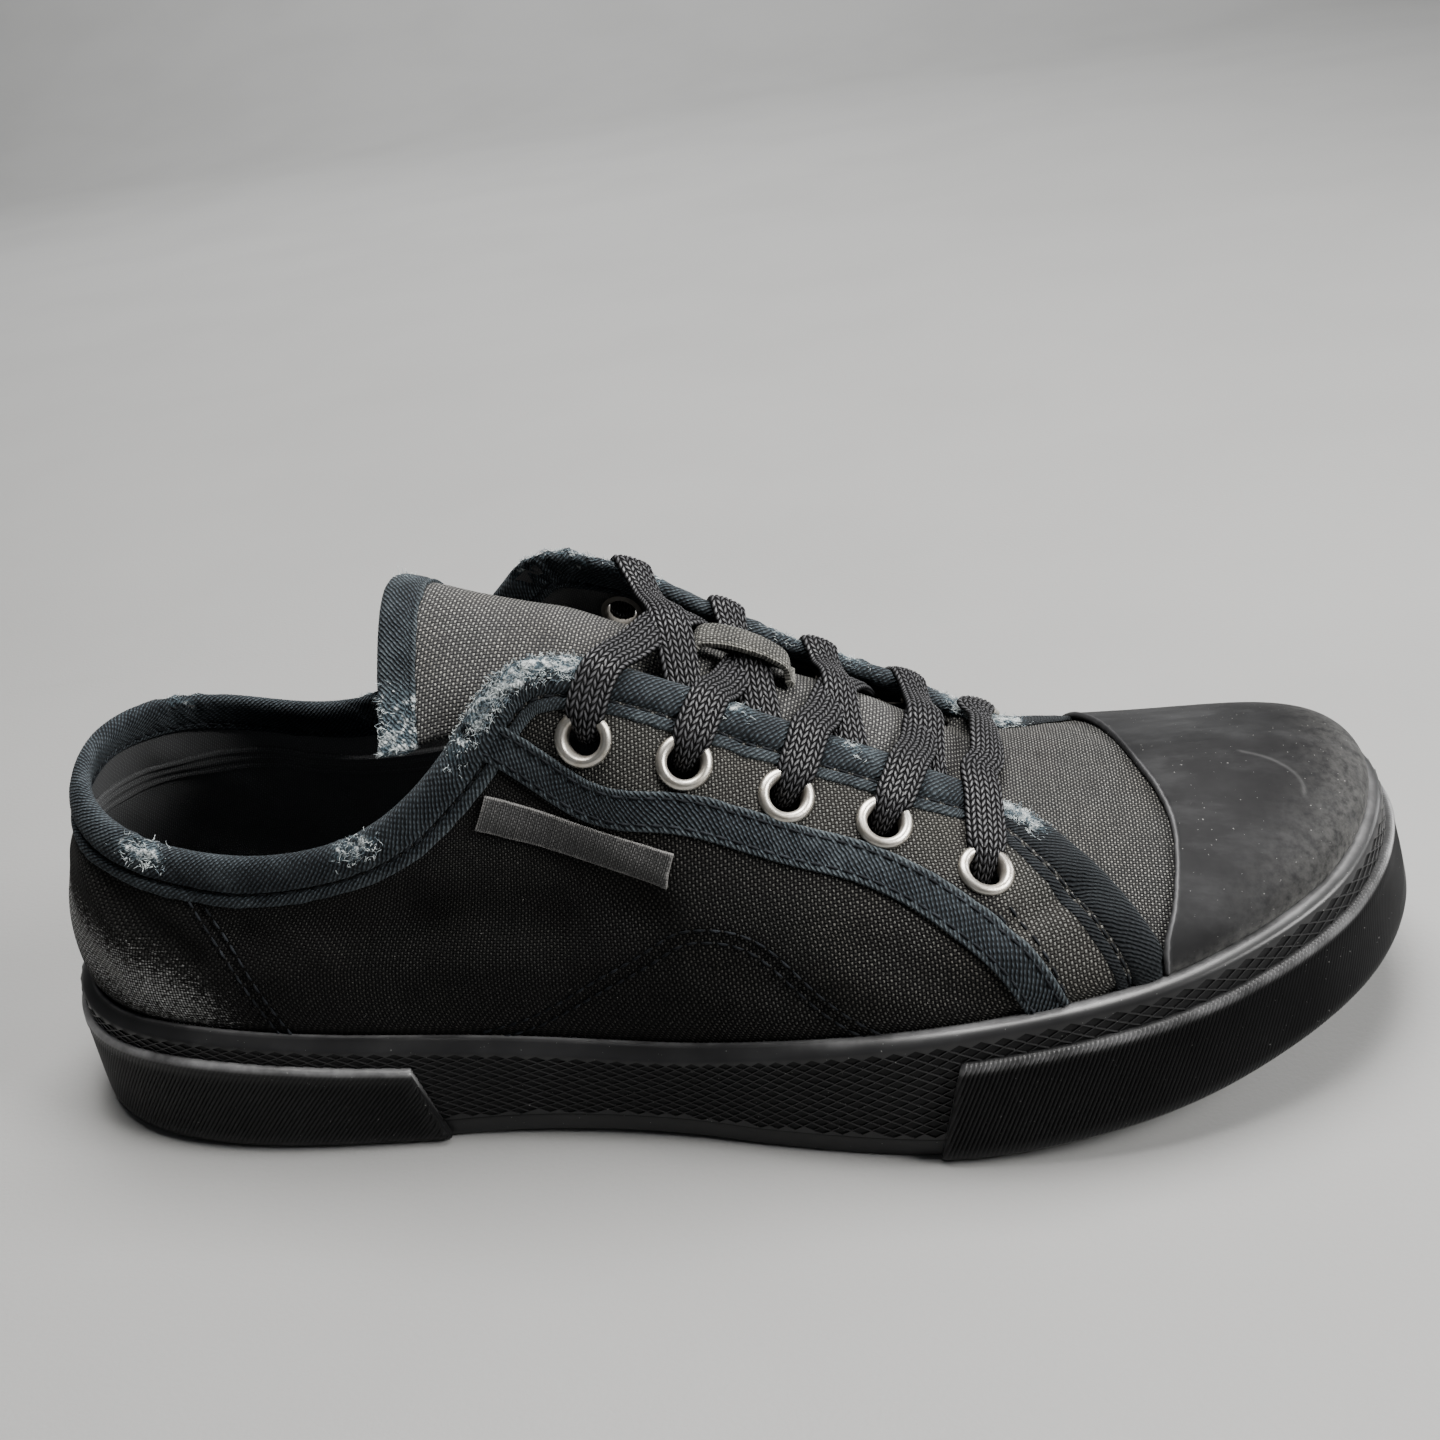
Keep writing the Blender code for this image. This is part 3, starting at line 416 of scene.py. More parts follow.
def spring(x):
    """Height of the sole's underside: flat heel and ball, low arch, rising toe."""
    toe = np.clip((x - SPRING_FROM) / (SPRING_TO - SPRING_FROM), 0.0, None)
    arch = np.clip(1.0 - ((x - ARCH_X) / ARCH_HALF) ** 2, 0.0, None)
    return TOE_SPRING * toe**SPRING_POWER + ARCH_RISE * arch


def side(t, offset, height):
    """Point offset outside the upper's lower wall, at a height over the ground."""
    t, offset, height = np.broadcast_arrays(np.asarray(t, float), offset, height)
    foot = spring(PLAN_X(t))
    share = held((height - foot) / (FOX_TOP(t) - foot))
    level = plan(t) + outward(t) * (offset - LEAN(t) * share)[..., None]
    return np.concatenate([level, height[..., None]], -1)


def top_edge(t):
    """The collar, the throat's edge and then the ridge of the toe box."""
    t = np.where(along(t) > THROAT_CLOSED - 0.01, along(t), t)
    closing = np.sqrt(held(THROAT_CLOSED - along(t)))
    x = TOP_X(t)
    y = np.interp(x, SWING_X, SWING_Y) + TOP_GAP(t) * closing
    return np.stack([x, y, TOP_Z(t)], -1)


def shell(t, v):
    """The last's own face above the foxing, on which the upper's outer face lies."""
    t, v = np.broadcast_arrays(np.asarray(t, float), np.asarray(v, float))
    n = outward(t)
    start = side(t, 0.0, FOX_TOP(t))
    leave = start + np.concatenate([n * FLARE(t)[..., None], RISE(t)[..., None]], -1)
    end = top_edge(t)
    away = plan(t) - n * LEAN(t)[..., None] - end[..., :2]
    span = np.linalg.norm(away, axis=-1, keepdims=True)
    away = away / np.maximum(span, 1e-6)
    ridge = held(along(t) - THROAT_END)
    reach = OUT(t) * (1 - ridge) + RIDGE_REACH * span[..., 0] * ridge
    fall = -DROP(t) * (1 - ridge)
    arrive = end + np.concatenate([away * reach[..., None], fall[..., None]], -1)
    v = v[..., None]
    u = 1 - v
    return start * u**3 + 3 * leave * v * u**2 + 3 * arrive * v**2 * u + end * v**3


def shell_way(t, v):
    """Outward unit normal of the shell, turned to agree across the toe's ridge."""
    t, v = np.broadcast_arrays(np.asarray(t, float), np.clip(v, 0.0, 0.985))

    def one(t):
        round_way = shell(t + 1e-3, v) - shell(t - 1e-3, v)
        up_way = shell(t, v + 1e-3) - shell(t, v - 1e-3)
        return unit(np.cross(round_way, up_way))
    way = one(t)
    share = held(along(t) - THROAT_END) * held((v - 0.8) / 0.185)
    return unit(way * (1 - share)[..., None] + unit(way + one(ROUND - t)) * share[..., None])


def smooth_path(knots, step=0.05):
    """Close places on a smooth curve through the knots."""
    knots = np.array(knots, float)
    ends = np.concatenate([[2 * knots[0] - knots[1]], knots, [2 * knots[-1] - knots[-2]]])
    u = np.arange(0, 1, step)[:, None]
    path = []
    for a, b, c, d in zip(ends, ends[1:], ends[2:], ends[3:]):
        path.append(0.5 * (2 * b + (c - a) * u + (2 * a - 5 * b + 4 * c - d) * u**2
                           + (3 * b - a - 3 * c + d) * u**3))
    return np.concatenate(path + [knots[-1:]])


def twin(path):
    """The same path on the medial side."""
    path = np.array(path, float)
    path[:, 0] = ROUND - path[:, 0]
    return path


def to_segment(p, a, b):
    """Distance from points to the segment between two points."""
    line = b - a
    share = held((p - a) @ line / (line @ line))
    return np.linalg.norm(p - a - share[..., None] * line, axis=-1)


FOLD_LINES = [(shell(a, b), shell(c, d), half, high) for a, b, c, d, half, high in FOLDS]
SEAM_LINES = [shell(*smooth_path(path, 0.25).T)
              for path in (ARC_SEAM, COUNTER_SEAM, twin(ARC_SEAM), twin(COUNTER_SEAM))]
RIPPLES = np.random.default_rng(4).normal(size=(14, 5))


def folds(p):
    """Height in mm that wear has given the canvas at a point."""
    high = np.zeros(p.shape[:-1])
    for a, b, half, height in FOLD_LINES:
        high += height * bell(to_segment(p, a, b), half)
    for line in SEAM_LINES:
        near = np.min([to_segment(p, a, b) for a, b in zip(line, line[1:])], 0)
        high -= SEAM_SINK * bell(near, SEAM_HALF)
    for a, b, c, turn, size in RIPPLES:
        wave = np.array((a, b, c)) / np.linalg.norm((a, b, c)) * (0.16 + 0.05 * abs(size))
        high += 0.07 * np.sin(p @ wave + 3 * turn)
    return high


def skin(t, v, lift=0.0):
    """Point of the worn canvas's outer face, lift mm above it; below v = 0 it is the wall
    inside the foxing."""
    t, v, lift = np.broadcast_arrays(np.asarray(t, float), np.asarray(v, float), lift)
    base = shell(t, held(v))
    wall = side(t, 0.0, FOX_TOP(t) + np.minimum(v, 0.0) * FOOT_DROP)
    base = np.where((v < 0)[..., None], wall, base)
    free = held(v / 0.10)
    return base + shell_way(t, v) * (folds(base) * free + lift)[..., None]


def laid(name, points, flat, marks=None, material=None):
    """A grid of faces laid through rows of points, with its flat pattern in mm."""
    rows, columns = points.shape[:2]
    bpy.ops.object.select_all(action="DESELECT")
    bpy.ops.mesh.primitive_grid_add(x_subdivisions=columns - 1, y_subdivisions=rows - 1, size=1)
    piece = bpy.context.object
    piece.name = piece.data.name = name
    piece.data.vertices.foreach_set("co", (points * MM).ravel())
    for key, values in (marks or {}).items():
        marked(piece, key, np.broadcast_to(values, (rows, columns)).ravel())
    corner = np.empty(len(piece.data.loops), int)
    piece.data.loops.foreach_get("vertex_index", corner)
    piece.data.uv_layers[0].data.foreach_set(
        "uv", flat.reshape(-1, 2)[corner].astype(np.float32).ravel())
    if material:
        piece.data.materials.append(material)
    piece.data.update()
    return piece


def closed_ends(points):
    """Draw the first and last rows of a grid of points together, each to its middle."""
    for end in (0, -1):
        points[end] = points[end].mean(0)
    return points


def built(name, verts, faces, material):
    """A mesh made from points in mm and the faces between them."""
    data = bpy.data.meshes.new(name)
    data.from_pydata(verts * MM, [], faces)
    data.materials.append(material)
    return placed(name, data)


def marked(piece, name, values):
    """Lay a value for each point on a piece, for its material to read."""
    piece.data.attributes.new(name, "FLOAT", "POINT").data.foreach_set(
        "value", np.asarray(values, np.float32))


def sewn(piece, near=2e-5, turn=False):
    """Merge a piece's meeting points; turn also makes its faces agree."""
    only(piece)
    mode("EDIT")
    bpy.ops.mesh.select_all(action="SELECT")
    bpy.ops.mesh.remove_doubles(threshold=near)
    bpy.ops.mesh.dissolve_degenerate(threshold=1e-7)
    if turn:
        bpy.ops.mesh.normals_make_consistent(inside=False)
    mode("OBJECT")


def shown(piece, slot, *nodes, angle=None):
    """Smooth a finished piece, and enter it for the frame."""
    only(piece)
    if angle is None:
        bpy.ops.object.shade_smooth()
    else:
        bpy.ops.object.shade_smooth_by_angle(angle=math.radians(angle))
    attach(piece, "root")
    if nodes:
        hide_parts(*nodes)


def run_along(points, axis):
    """Length walked along an axis of a grid of points."""
    steps = np.linalg.norm(np.diff(points, axis=axis), axis=-1)
    start = np.zeros_like(np.take(steps, [0], axis))
    return np.concatenate([start, np.cumsum(steps, axis)], axis)


def plain_weave(cloth, x, y, pitch, wander=0.14):
    """Height, from 0 to 1, of threads that pass over and under one by one."""
    sway = cloth.noise(cloth.joined(x, y), 0.35, 2.0)
    slip = cloth.noise(cloth.joined(x + 57.0, y), 0.30, 2.0)
    x = (x + sway * wander * 4) * (math.pi / pitch)
    y = (y + slip * wander * 4) * (math.pi / pitch)
    warp, weft = x.maths("SINE"), y.maths("SINE")
    over = (warp * weft) > 0.0
    warp, weft = abs(warp), abs(weft)
    return (warp * weft ** 0.35) * over + (weft * warp ** 0.35) * (1 - over) * 0.6


def canvas_finish(name, pitch=0.72, wear=1.0):
    """Sulphur-black cotton canvas, greyed where it has rubbed, dusty low on the heel."""
    cloth = Finish(name)
    x, y = cloth.flat()
    weave = plain_weave(cloth, x, y, pitch)
    slub = (cloth.noise(cloth.joined(x * 2.2, y * 0.09), 1.0, 3.0)
            + cloth.noise(cloth.joined(x * 0.09 + 31.0, y * 2.2), 1.0, 3.0)) - 1.0
    cloud = cloth.grain(38.0, 5.0, 0.62)
    brown = cloth.grain(62.0, 4.0)
    # wear sets the tone of each piece's canvas as painted light and shade: above 1 it lightens the
    # threads' colours, below 1 it gives fewer pale thread tops. The side-facing quarters are
    # darkened as painted shade; the up-facing vamp and tongue are lightened as painted light.
    grey = tuple(c * max(wear, 1.0) for c in CANVAS_TOP)
    top = cloth.blend(brown.rise(0.42, 0.72), grey, tuple(
        a * b for a, b in zip(grey, (1.03, 1.0, 0.96))))
    # The thread tops are lighter than the gaps, partly from fading and partly as painted highlight
    # on the crossings; the near-black gaps are partly painted shade.
    bare = (weave.rise(0.40, 0.94) * (0.62 + slub * 1.4)
            * (0.62 + cloud * 0.75) * (1.0 + cloth.mark("faded_and_painted_light") * 5.5)).maths("MAXIMUM", 0.0)
    # Where the quarters are marked lighter, the thread tops are brightened and the gaps paled,
    # partly as fading and partly as painted light.
    deep = cloth.blend(cloth.mark("faded_and_painted_light") * cloth.mark("faded_and_painted_light"),
                       tuple(c * max(wear, 1.0) ** 2.1 for c in CANVAS_DEEP),
                       (0.016, 0.0156, 0.0144))
    colour = cloth.blend((bare * min(wear, 1.0)).maths("MINIMUM", 1.0), deep, top)
    scuff = cloth.mark("scuff")
    streak = cloth.noise(cloth.joined(x * 0.55, y * 1.9), 1.0, 5.0, 0.7)
    rubbed = (streak + scuff * 0.34).rise(0.64, 0.90) * weave.rise(0.15, 0.8)
    colour = cloth.blend(rubbed * scuff.rise(0.05, 0.45), colour, (0.56, 0.56, 0.55))
    rust = cloth.mark("rust")
    colour = cloth.blend(rust * weave * 0.22, colour, (0.16, 0.080, 0.045))
    dust = cloth.grain(1300.0, 2.0)
    colour = cloth.blend((dust > 0.765) * 0.45, colour, (0.36, 0.35, 0.33))
    fluff = cloth.grain(2600.0, 2.0)
    normal = cloth.bump(weave + fluff * 0.25 + slub * 0.3, 0.00034, 1.0)
    return cloth.coat(Base_Color=colour, Roughness=0.93 - weave * 0.08, Normal=normal,
                      Specular_IOR_Level=0.06, Sheen_Weight=0.03, Sheen_Roughness=0.45,
                      Sheen_Tint=(0.75, 0.74, 0.72))


def lining_finish():
    """Black cotton drill, polished by the foot."""
    cloth = Finish("drill lining")
    x, y = cloth.flat()
    weave = plain_weave(cloth, x, y, 0.5)
    cloud = cloth.grain(55.0, 4.0)
    colour = cloth.blend(weave * (0.3 + cloud), tuple(c * 0.35 for c in LINING_COLOUR),
                         LINING_COLOUR)
    return cloth.coat(Base_Color=colour, Roughness=0.88, Specular_IOR_Level=0.2,
                      Normal=cloth.bump(weave, 0.00014, 0.8))


GIRTH_T = np.linspace(-TOE, TOE, 2801)
GIRTH = run_along(shell(GIRTH_T, 0.3), 0)
GIRTH -= np.interp(0.0, GIRTH_T, GIRTH)


def girth_at(t):
    """Walk in mm from the heel's back to t, less than zero on the medial side."""
    t = (np.asarray(t, float) + TOE) % ROUND - TOE
    return np.interp(t, GIRTH_T, GIRTH)


def t_at(girth):
    return np.interp(girth, GIRTH, GIRTH_T)


def front_edge(v):
    """t of the lateral quarter's front edge."""
    return np.interp(v, *zip(*FRONT_EDGE))


def scuffed(p):
    """How much the heel's canvas is scraped at a point: low on the back."""
    low = bell(p[..., 2] - 47 + (p[..., 0] + 142) * 0.34, 12)
    back = 1 / (1 + np.exp((p[..., 0] + 99) / 6))
    return low * back


def eyelet_holes():
    """Centre and outward normal of each eyelet, down both sides."""
    for mirror in (False, True):
        for t, v in EYELETS:
            t = ROUND - t if mirror else t
            yield shell(t, v), shell_way(t, v)


def punch(piece):
    """Cut the eyelets' round holes in a single layer of canvas."""
    mesh = bmesh.new()
    mesh.from_mesh(piece.data)
    for centre, way in eyelet_holes():
        centre, way = Vector(centre * MM), Vector(way)
        near = [face for face in mesh.faces
                if (face.calc_center_median() - centre).length < HOLE * MM * 0.93]
        bmesh.ops.delete(mesh, geom=near, context="FACES")
        for vert in mesh.verts:
            gap = vert.co - centre
            level = gap - way * gap.dot(way)
            if vert.is_boundary and gap.length < 1.6 * HOLE * MM:
                vert.co += level.normalized() * HOLE * MM - level
    mesh.to_mesh(piece.data)
    mesh.free()


def make_quarters():
    v = np.concatenate([np.linspace(QUARTER_FOOT, 0.0, 5)[:-1],
                        np.linspace(0.0, 1.0, QUARTER_ROWS - 4)])[:, None]
    share = np.linspace(-1.0, 1.0, QUARTER_COLUMNS)[None]
    t = t_at(share * girth_at(front_edge(v)))
    v = np.broadcast_to(v, t.shape)
    lift = CANVAS_LIFT * (0.15 + 0.85 * held(v / 0.05))
    points = skin(t, v, lift)
    x = run_along(points, 1)
    flat = np.stack([x - x[:, [QUARTER_COLUMNS // 2]], run_along(points, 0)], -1)
    # The eyestay, the front edge and the forward part of the quarters are drawn lighter, partly as
    # fading and partly as painted light, with painted highlights toward the front.
    stay = held((v - 0.50) / 0.08) * held((along(t) - 5.3) / 0.8)
    faded_and_painted_light = np.maximum(stay, held((along(t) - 8.7) / 0.3))
    faded_and_painted_light = np.maximum(faded_and_painted_light, 0.30 * held((along(t) - 5.0) / 2.5))
    # The quarters' canvas is darkened as painted shade.
    piece = laid("quarters", points, flat, {"scuff": scuffed(points), "faded_and_painted_light": faded_and_painted_light},
                 canvas_finish("quarter canvas with painted shade", wear=0.36))
    piece.data.materials.append(lining_finish())
    punch(piece)
    finished(piece, "SOLIDIFY", thickness=CANVAS_THICK * MM, offset=-1.0, material_offset=1,
             use_quality_normals=True)
    shown(piece, "canvas", "upper")


make_quarters()


# ---------- tongue
# A tongue of the same canvas over a lining, arched across the instep and standing up past
# the top eyelets. Its top edge is bound in folded navy twill tape, worn through at both
# corners, and its root is sewn under the vamp.
# Sections of it: x, height of the crown, half width, fall to the sides, tilt.
TONGUE = (
    (76.0,  52.2, 15.0,  4.0, 0.0), (66.0,  56.1, 18.0,  6.6, 0.0),
    (50.0,  67.2, 21.4, 11.2, 0.2), (32.0,  77.3, 22.5, 12.4, 0.4),
    (12.0,  86.8, 22.0, 12.4, 0.3), (-8.0,  95.8, 21.3, 12.2, 0.4),
    (-24.0, 101.8, 21.3, 14.5, 1.0), (-40.0, 107.0, 22.6, 17.5, 2.6),
    (-54.0, 110.5, 24.5, 21.0, 4.5),
)
TONGUE_CURVE = 1.8
TONGUE_THICK = 2.0
TONGUE_FROM, TONGUE_TO = 74.0, -53.6
TONGUE_ROWS, TONGUE_ACROSS = 150, 56
# Soft folds in the tongue: x, share across, their half lengths in mm, and height.
TONGUE_FOLDS = ((-34.0, -0.35, 7.0, 16.0, -0.7), (-20.0, 0.30, 5.0, 14.0, 0.5),
                (-9.0, -0.30, 3.4, 12.0, -0.5), (3.0, 0.15, 3.2, 12.0, 0.4),
                (28.0, -0.10, 3.4, 12.0, -0.4), (42.0, 0.10, 3.6, 12.0, 0.4))
BINDING_DEEP, BINDING_TOP = (0.0016, 0.0023, 0.0032), (0.036, 0.048, 0.058)
BINDING_WORN, BINDING_FRAY = (0.085, 0.102, 0.112), (0.62, 0.66, 0.66)
TONGUE_KNOTS = smooth_path(TONGUE)[::-1]


def tongue_point(x, across):
    """Upper face of the tongue: across is -1 at its lateral side and 1 at its medial."""
    x, across = np.broadcast_arrays(np.asarray(x, float), np.asarray(across, float))
    crown, half, fall, raised = (np.interp(x, TONGUE_KNOTS[:, 0], TONGUE_KNOTS[:, i])
                                 for i in range(1, 5))
    middle = np.interp(x, SWING_X, SWING_Y)
    z = crown - fall * np.abs(across) ** TONGUE_CURVE + raised * across
    return np.stack([x, middle + half * across, z], -1)


def tongue_way(x, across):
    """Upward unit normal of the tongue."""
    run = tongue_point(np.asarray(x) + 1.0, across) - tongue_point(np.asarray(x) - 1.0, across)
    width = tongue_point(x, np.asarray(across) + 0.02) - tongue_point(x, np.asarray(across) - 0.02)
    return unit(np.cross(run, width))


def tongue_skin(x, across, lift=0.0):
    """Point of the worn tongue's upper face, lift mm above it."""
    x, across, lift = np.broadcast_arrays(np.asarray(x, float), across, lift)
    high = np.zeros(x.shape)
    for at, share, long, wide, height in TONGUE_FOLDS:
        high += height * np.exp(-((x - at + across * 4) / long) ** 2
                                - ((across - share) * 21 / wide) ** 2)
    high += 0.16 * np.sin(x * 0.31 + 3 * across) * np.sin(across * 5 + x * 0.07)
    return tongue_point(x, across) + tongue_way(x, across) * (high + lift)[..., None]


def twill_finish(name, steep=1.0):
    """Navy cotton twill tape, greyed on its high places and white where it is frayed."""
    tape = Finish(name)
    x, y = tape.flat()
    sway = tape.noise(tape.joined(x, y), 0.5, 2.0)
    x = x + sway * 0.9
    rib = ((x + y * steep) * (2 * math.pi / 1.05)).maths("SINE") * 0.5 + 0.5
    knot = ((x - y * steep) * (2 * math.pi / 1.5)).maths("SINE") * 0.5 + 0.5
    twill = rib * (0.55 + knot * 0.45)
    fine = tape.grain(1500.0, 3.0, 0.6)
    cloud = tape.grain(140.0, 4.0, 0.65)
    worn = tape.mark("worn")
    fray = tape.mark("fray")
    lit = twill.rise(0.34, 0.94) * (0.30 + fine * 1.3) * (0.40 + cloud * 1.3)
    colour = tape.blend(lit.maths("MINIMUM", 1.0), BINDING_DEEP, BINDING_TOP)
    grey = (cloud.rise(0.42, 0.72) * 0.45 + worn) * (0.35 + twill * 0.65) * (0.6 + fine * 0.8)
    colour = tape.blend((grey * 0.8).maths("MINIMUM", 0.85), colour, BINDING_WORN)
    # Painted shade: the binding's front run is darkened to near black.
    colour = tape.blend(tape.mark("deep") * 0.88, colour, BINDING_DEEP)
    torn = tape.noise(tape.joined(x * 0.9, y * 2.6), 1.0, 4.0, 0.7)
    tuft = tape.grain(520.0, 3.0, 0.7)
    blue = (torn + fray * 0.42).rise(0.60, 0.84) * fray.rise(0.06, 0.35)
    colour = tape.blend(blue * (0.35 + twill * 0.6), colour, (0.085, 0.125, 0.150))
    white = (tuft + fray * 0.30).rise(0.66, 0.86) * fray.rise(0.20, 0.55)
    colour = tape.blend(white * (0.4 + fine), colour, BINDING_FRAY)
    height = twill + fine * 0.45 + (torn + tuft * 1.5) * fray * 2.0
    return tape.coat(Base_Color=colour, Roughness=0.92, Specular_IOR_Level=0.2,
                     Sheen_Weight=0.06, Sheen_Roughness=0.5, Sheen_Tint=(0.62, 0.70, 0.76),
                     Normal=tape.bump(height, 0.00038, 1.0))


TWILL = twill_finish("twill tape")


def make_tongue():
    x = np.linspace(TONGUE_FROM, TONGUE_TO, TONGUE_ROWS)
    across = np.linspace(-1.0, 1.0, TONGUE_ACROSS)
    points = tongue_skin(x[:, None], across[None])
    flat = np.stack([run_along(points, 0), run_along(points, 1)], -1)
    # The tongue's canvas is lightened as painted light.
    piece = laid("tongue_canvas", points, flat, {"scuff": 0.0, "rust": 0.0},
                 canvas_finish("tongue canvas with painted light", wear=2.7))
    piece.data.materials.append(lining_finish())
    finished(piece, "SOLIDIFY", thickness=TONGUE_THICK * MM, offset=-1.0, material_offset=1,
             use_quality_normals=True)
    finished(piece, "BEVEL", width=0.00045, segments=2, angle_limit=math.radians(50))
    shown(piece, "canvas", "tongue")


# Section of the tongue's binding: height over the tongue's face and place behind its edge.
TONGUE_BINDING = ((0.15, 6.4), (0.55, 6.5), (0.72, 6.15), (0.62, 5.65), (0.25, 5.3), (0.62, 4.9),
                  (0.86, 4.2), (0.95, 3.2), (1.0, 2.2), (1.05, 1.1), (1.0, 0.2), (0.65, -0.75),
                  (-0.2, -1.35), (-1.2, -1.45), (-2.2, -1.05), (-2.85, 0.0), (-3.0, 1.2),
                  (-2.95, 2.9), (-2.8, 4.7), (-2.45, 5.3), (-2.75, 5.8), (-2.6, 6.2),
                  (-2.0, 6.3), (-0.9, 6.35))
TONGUE_BINDING_STATIONS = 110
# Worn-through places on it: share across, half width in mm and strength.
TONGUE_FRAYS = ((-1.0, 5.0, 0.7), (-0.84, 4.0, 0.5), (1.0, 4.5, 1.0), (0.2, 3.5, 0.3))


def make_tongue_binding():
    stations = TONGUE_BINDING_STATIONS
    across = np.linspace(1.03, -1.03, stations)[:, None]
    lift, back = np.array(TONGUE_BINDING + TONGUE_BINDING[:1]).T[:, None]
    rng = np.random.default_rng(12)
    wave = np.convolve(rng.normal(size=stations + 20), np.hanning(9) / 3, "same")[:stations, None]
    fray = np.zeros_like(across)
    for share, half, strong in TONGUE_FRAYS:
        fray = np.maximum(fray, strong * bell((across - share) * 24, half))
    back = (back + wave * 0.16 * (back > 4.4)
            + rng.normal(size=(stations, back.shape[1])) * fray * 0.25)
    x = TONGUE_TO + np.maximum(back, 0.0)
    points = tongue_skin(x, np.clip(across, -1.0, 1.0), lift + fray * 0.3)
    run = unit(tongue_point(TONGUE_TO - 1.0, across) - tongue_point(TONGUE_TO, across))
    points = points + run * (-np.minimum(back, 0.0))[..., None]
    beyond = tongue_point(x, across) - tongue_point(x, np.clip(across, -1.0, 1.0))
    points = closed_ends(points + beyond)
    walk = run_along(points[:, 0], 0)[:, None] + np.zeros_like(x)
    round_way = run_along(points[stations // 2], 0)[None] + np.zeros_like(x)
    worn = bell(back - 6.3, 0.6) * 0.5 + bell(back, 1.2) * 0.25
    piece = laid("tongue_binding", points, np.stack([walk, round_way], -1),
                 {"fray": fray, "worn": worn}, TWILL)
    sewn(piece, turn=True)
    shown(piece, "canvas")


make_tongue()
make_tongue_binding()


# ---------- vamp
# The front panel, one piece of the same canvas that runs from under the quarters over the
# toe box, and back under the bottom lace to the tongue, to which it is sewn.
VAMP_THICK = 1.2
VAMP_UNDER = 0.5       # how far in t it goes under the quarters, at the foxing
VAMP_SIDE, VAMP_RIDGE = 30, 56      # columns up to the closed throat, and over the toe box
VAMP_ROWS, VAMP_BACK_ROWS, VAMP_BACK_X = 60, 16, 50.0
# How its back flap leaves the toe box and comes to rest on the tongue: x, y, z.
VAMP_LEAVE, VAMP_ARRIVE = (-14.0, 0.0, 1.6), (-9.0, 0.0, 4.6)
RUST_AT, RUST_HALF = (90.4, -36.6, 46.8), 1.7


def make_vamp():
    v = np.concatenate([np.linspace(QUARTER_FOOT, 0.0, 4)[:-1],
                        np.linspace(0.0, 1.0, VAMP_ROWS)])[:, None]
    share = np.linspace(0.0, 1.0, VAMP_SIDE)[None]
    first = front_edge(v) - VAMP_UNDER * (1 - v) - 0.06
    toward = THROAT_CLOSED - (THROAT_CLOSED - first) * (1 - share) ** 2
    over = np.linspace(THROAT_CLOSED, TOE, VAMP_RIDGE)[None, 1:] + np.zeros_like(v)
    half = np.concatenate([toward, over], 1)
    t = np.concatenate([half, (ROUND - half)[:, -2::-1]], 1)
    v = np.broadcast_to(v, t.shape)
    points = skin(t, v)
    edge = points[-1]
    reach = np.linspace(0.0, 1.0, VAMP_BACK_ROWS)[1:, None, None]
    free = (along(t[-1]) < THROAT_CLOSED + 1e-6)[:, None]
    end = tongue_skin(VAMP_BACK_X + 0.12 * np.abs(edge[:, 1]),
                      np.clip(edge[:, 1] / 21.0, -0.74, 0.74), 0.35)
    leave = edge * (0.0, -0.25, 0.0) + VAMP_LEAVE
    back = (edge * (2 * reach**3 - 3 * reach**2 + 1) + leave * (reach**3 - 2 * reach**2 + reach)
            + end * (3 * reach**2 - 2 * reach**3)
            + np.array(VAMP_ARRIVE) * (reach**3 - reach**2))
    back = np.where(free, back, edge)
    ground = np.concatenate([points, back])
    steps = np.linalg.norm(np.diff(points[:, :, 1:], axis=0), axis=-1)
    down = np.concatenate([np.cumsum(steps[::-1], 0)[::-1], np.zeros((1, t.shape[1]))])
    wide = np.where(t[:1] > TOE, down, -down) + points[-1, :, 1]
    wide = np.concatenate([wide, back[..., 1]])
    flat = np.stack([ground[..., 0], wide], -1)
    rust = bell(np.linalg.norm(ground - np.array(RUST_AT), axis=-1), RUST_HALF)
    # The vamp's canvas is lightened as painted light.
    piece = laid("vamp", ground, flat, {"scuff": 0.0, "rust": rust},
                 canvas_finish("vamp canvas with painted light", pitch=0.60, wear=2.2))
    piece.data.materials.append(lining_finish())
    stray = np.zeros((len(ground) - 1, len(free) - 1), bool)
    stray[len(points) - 1:] = ~(free[1:, 0] & free[:-1, 0])
    chosen(piece, "FACE", stray.ravel())
    bpy.ops.mesh.delete(type="FACE")
    bpy.ops.mesh.select_mode(type="VERT")
    mode("OBJECT")
    sewn(piece)
    finished(piece, "SOLIDIFY", thickness=VAMP_THICK * MM, offset=-1.0, material_offset=1)
    shown(piece, "canvas")


make_vamp()


# ---------- binding
# A folded strip of navy twill that wraps the quarters' whole edge: up the front, along the
# throat, round the collar and down again. Its rolled part is soft and thick, a sewn groove
# holds its flat lip, and it is worn through to white threads where it has rubbed.
BINDING_STEP = 0.9
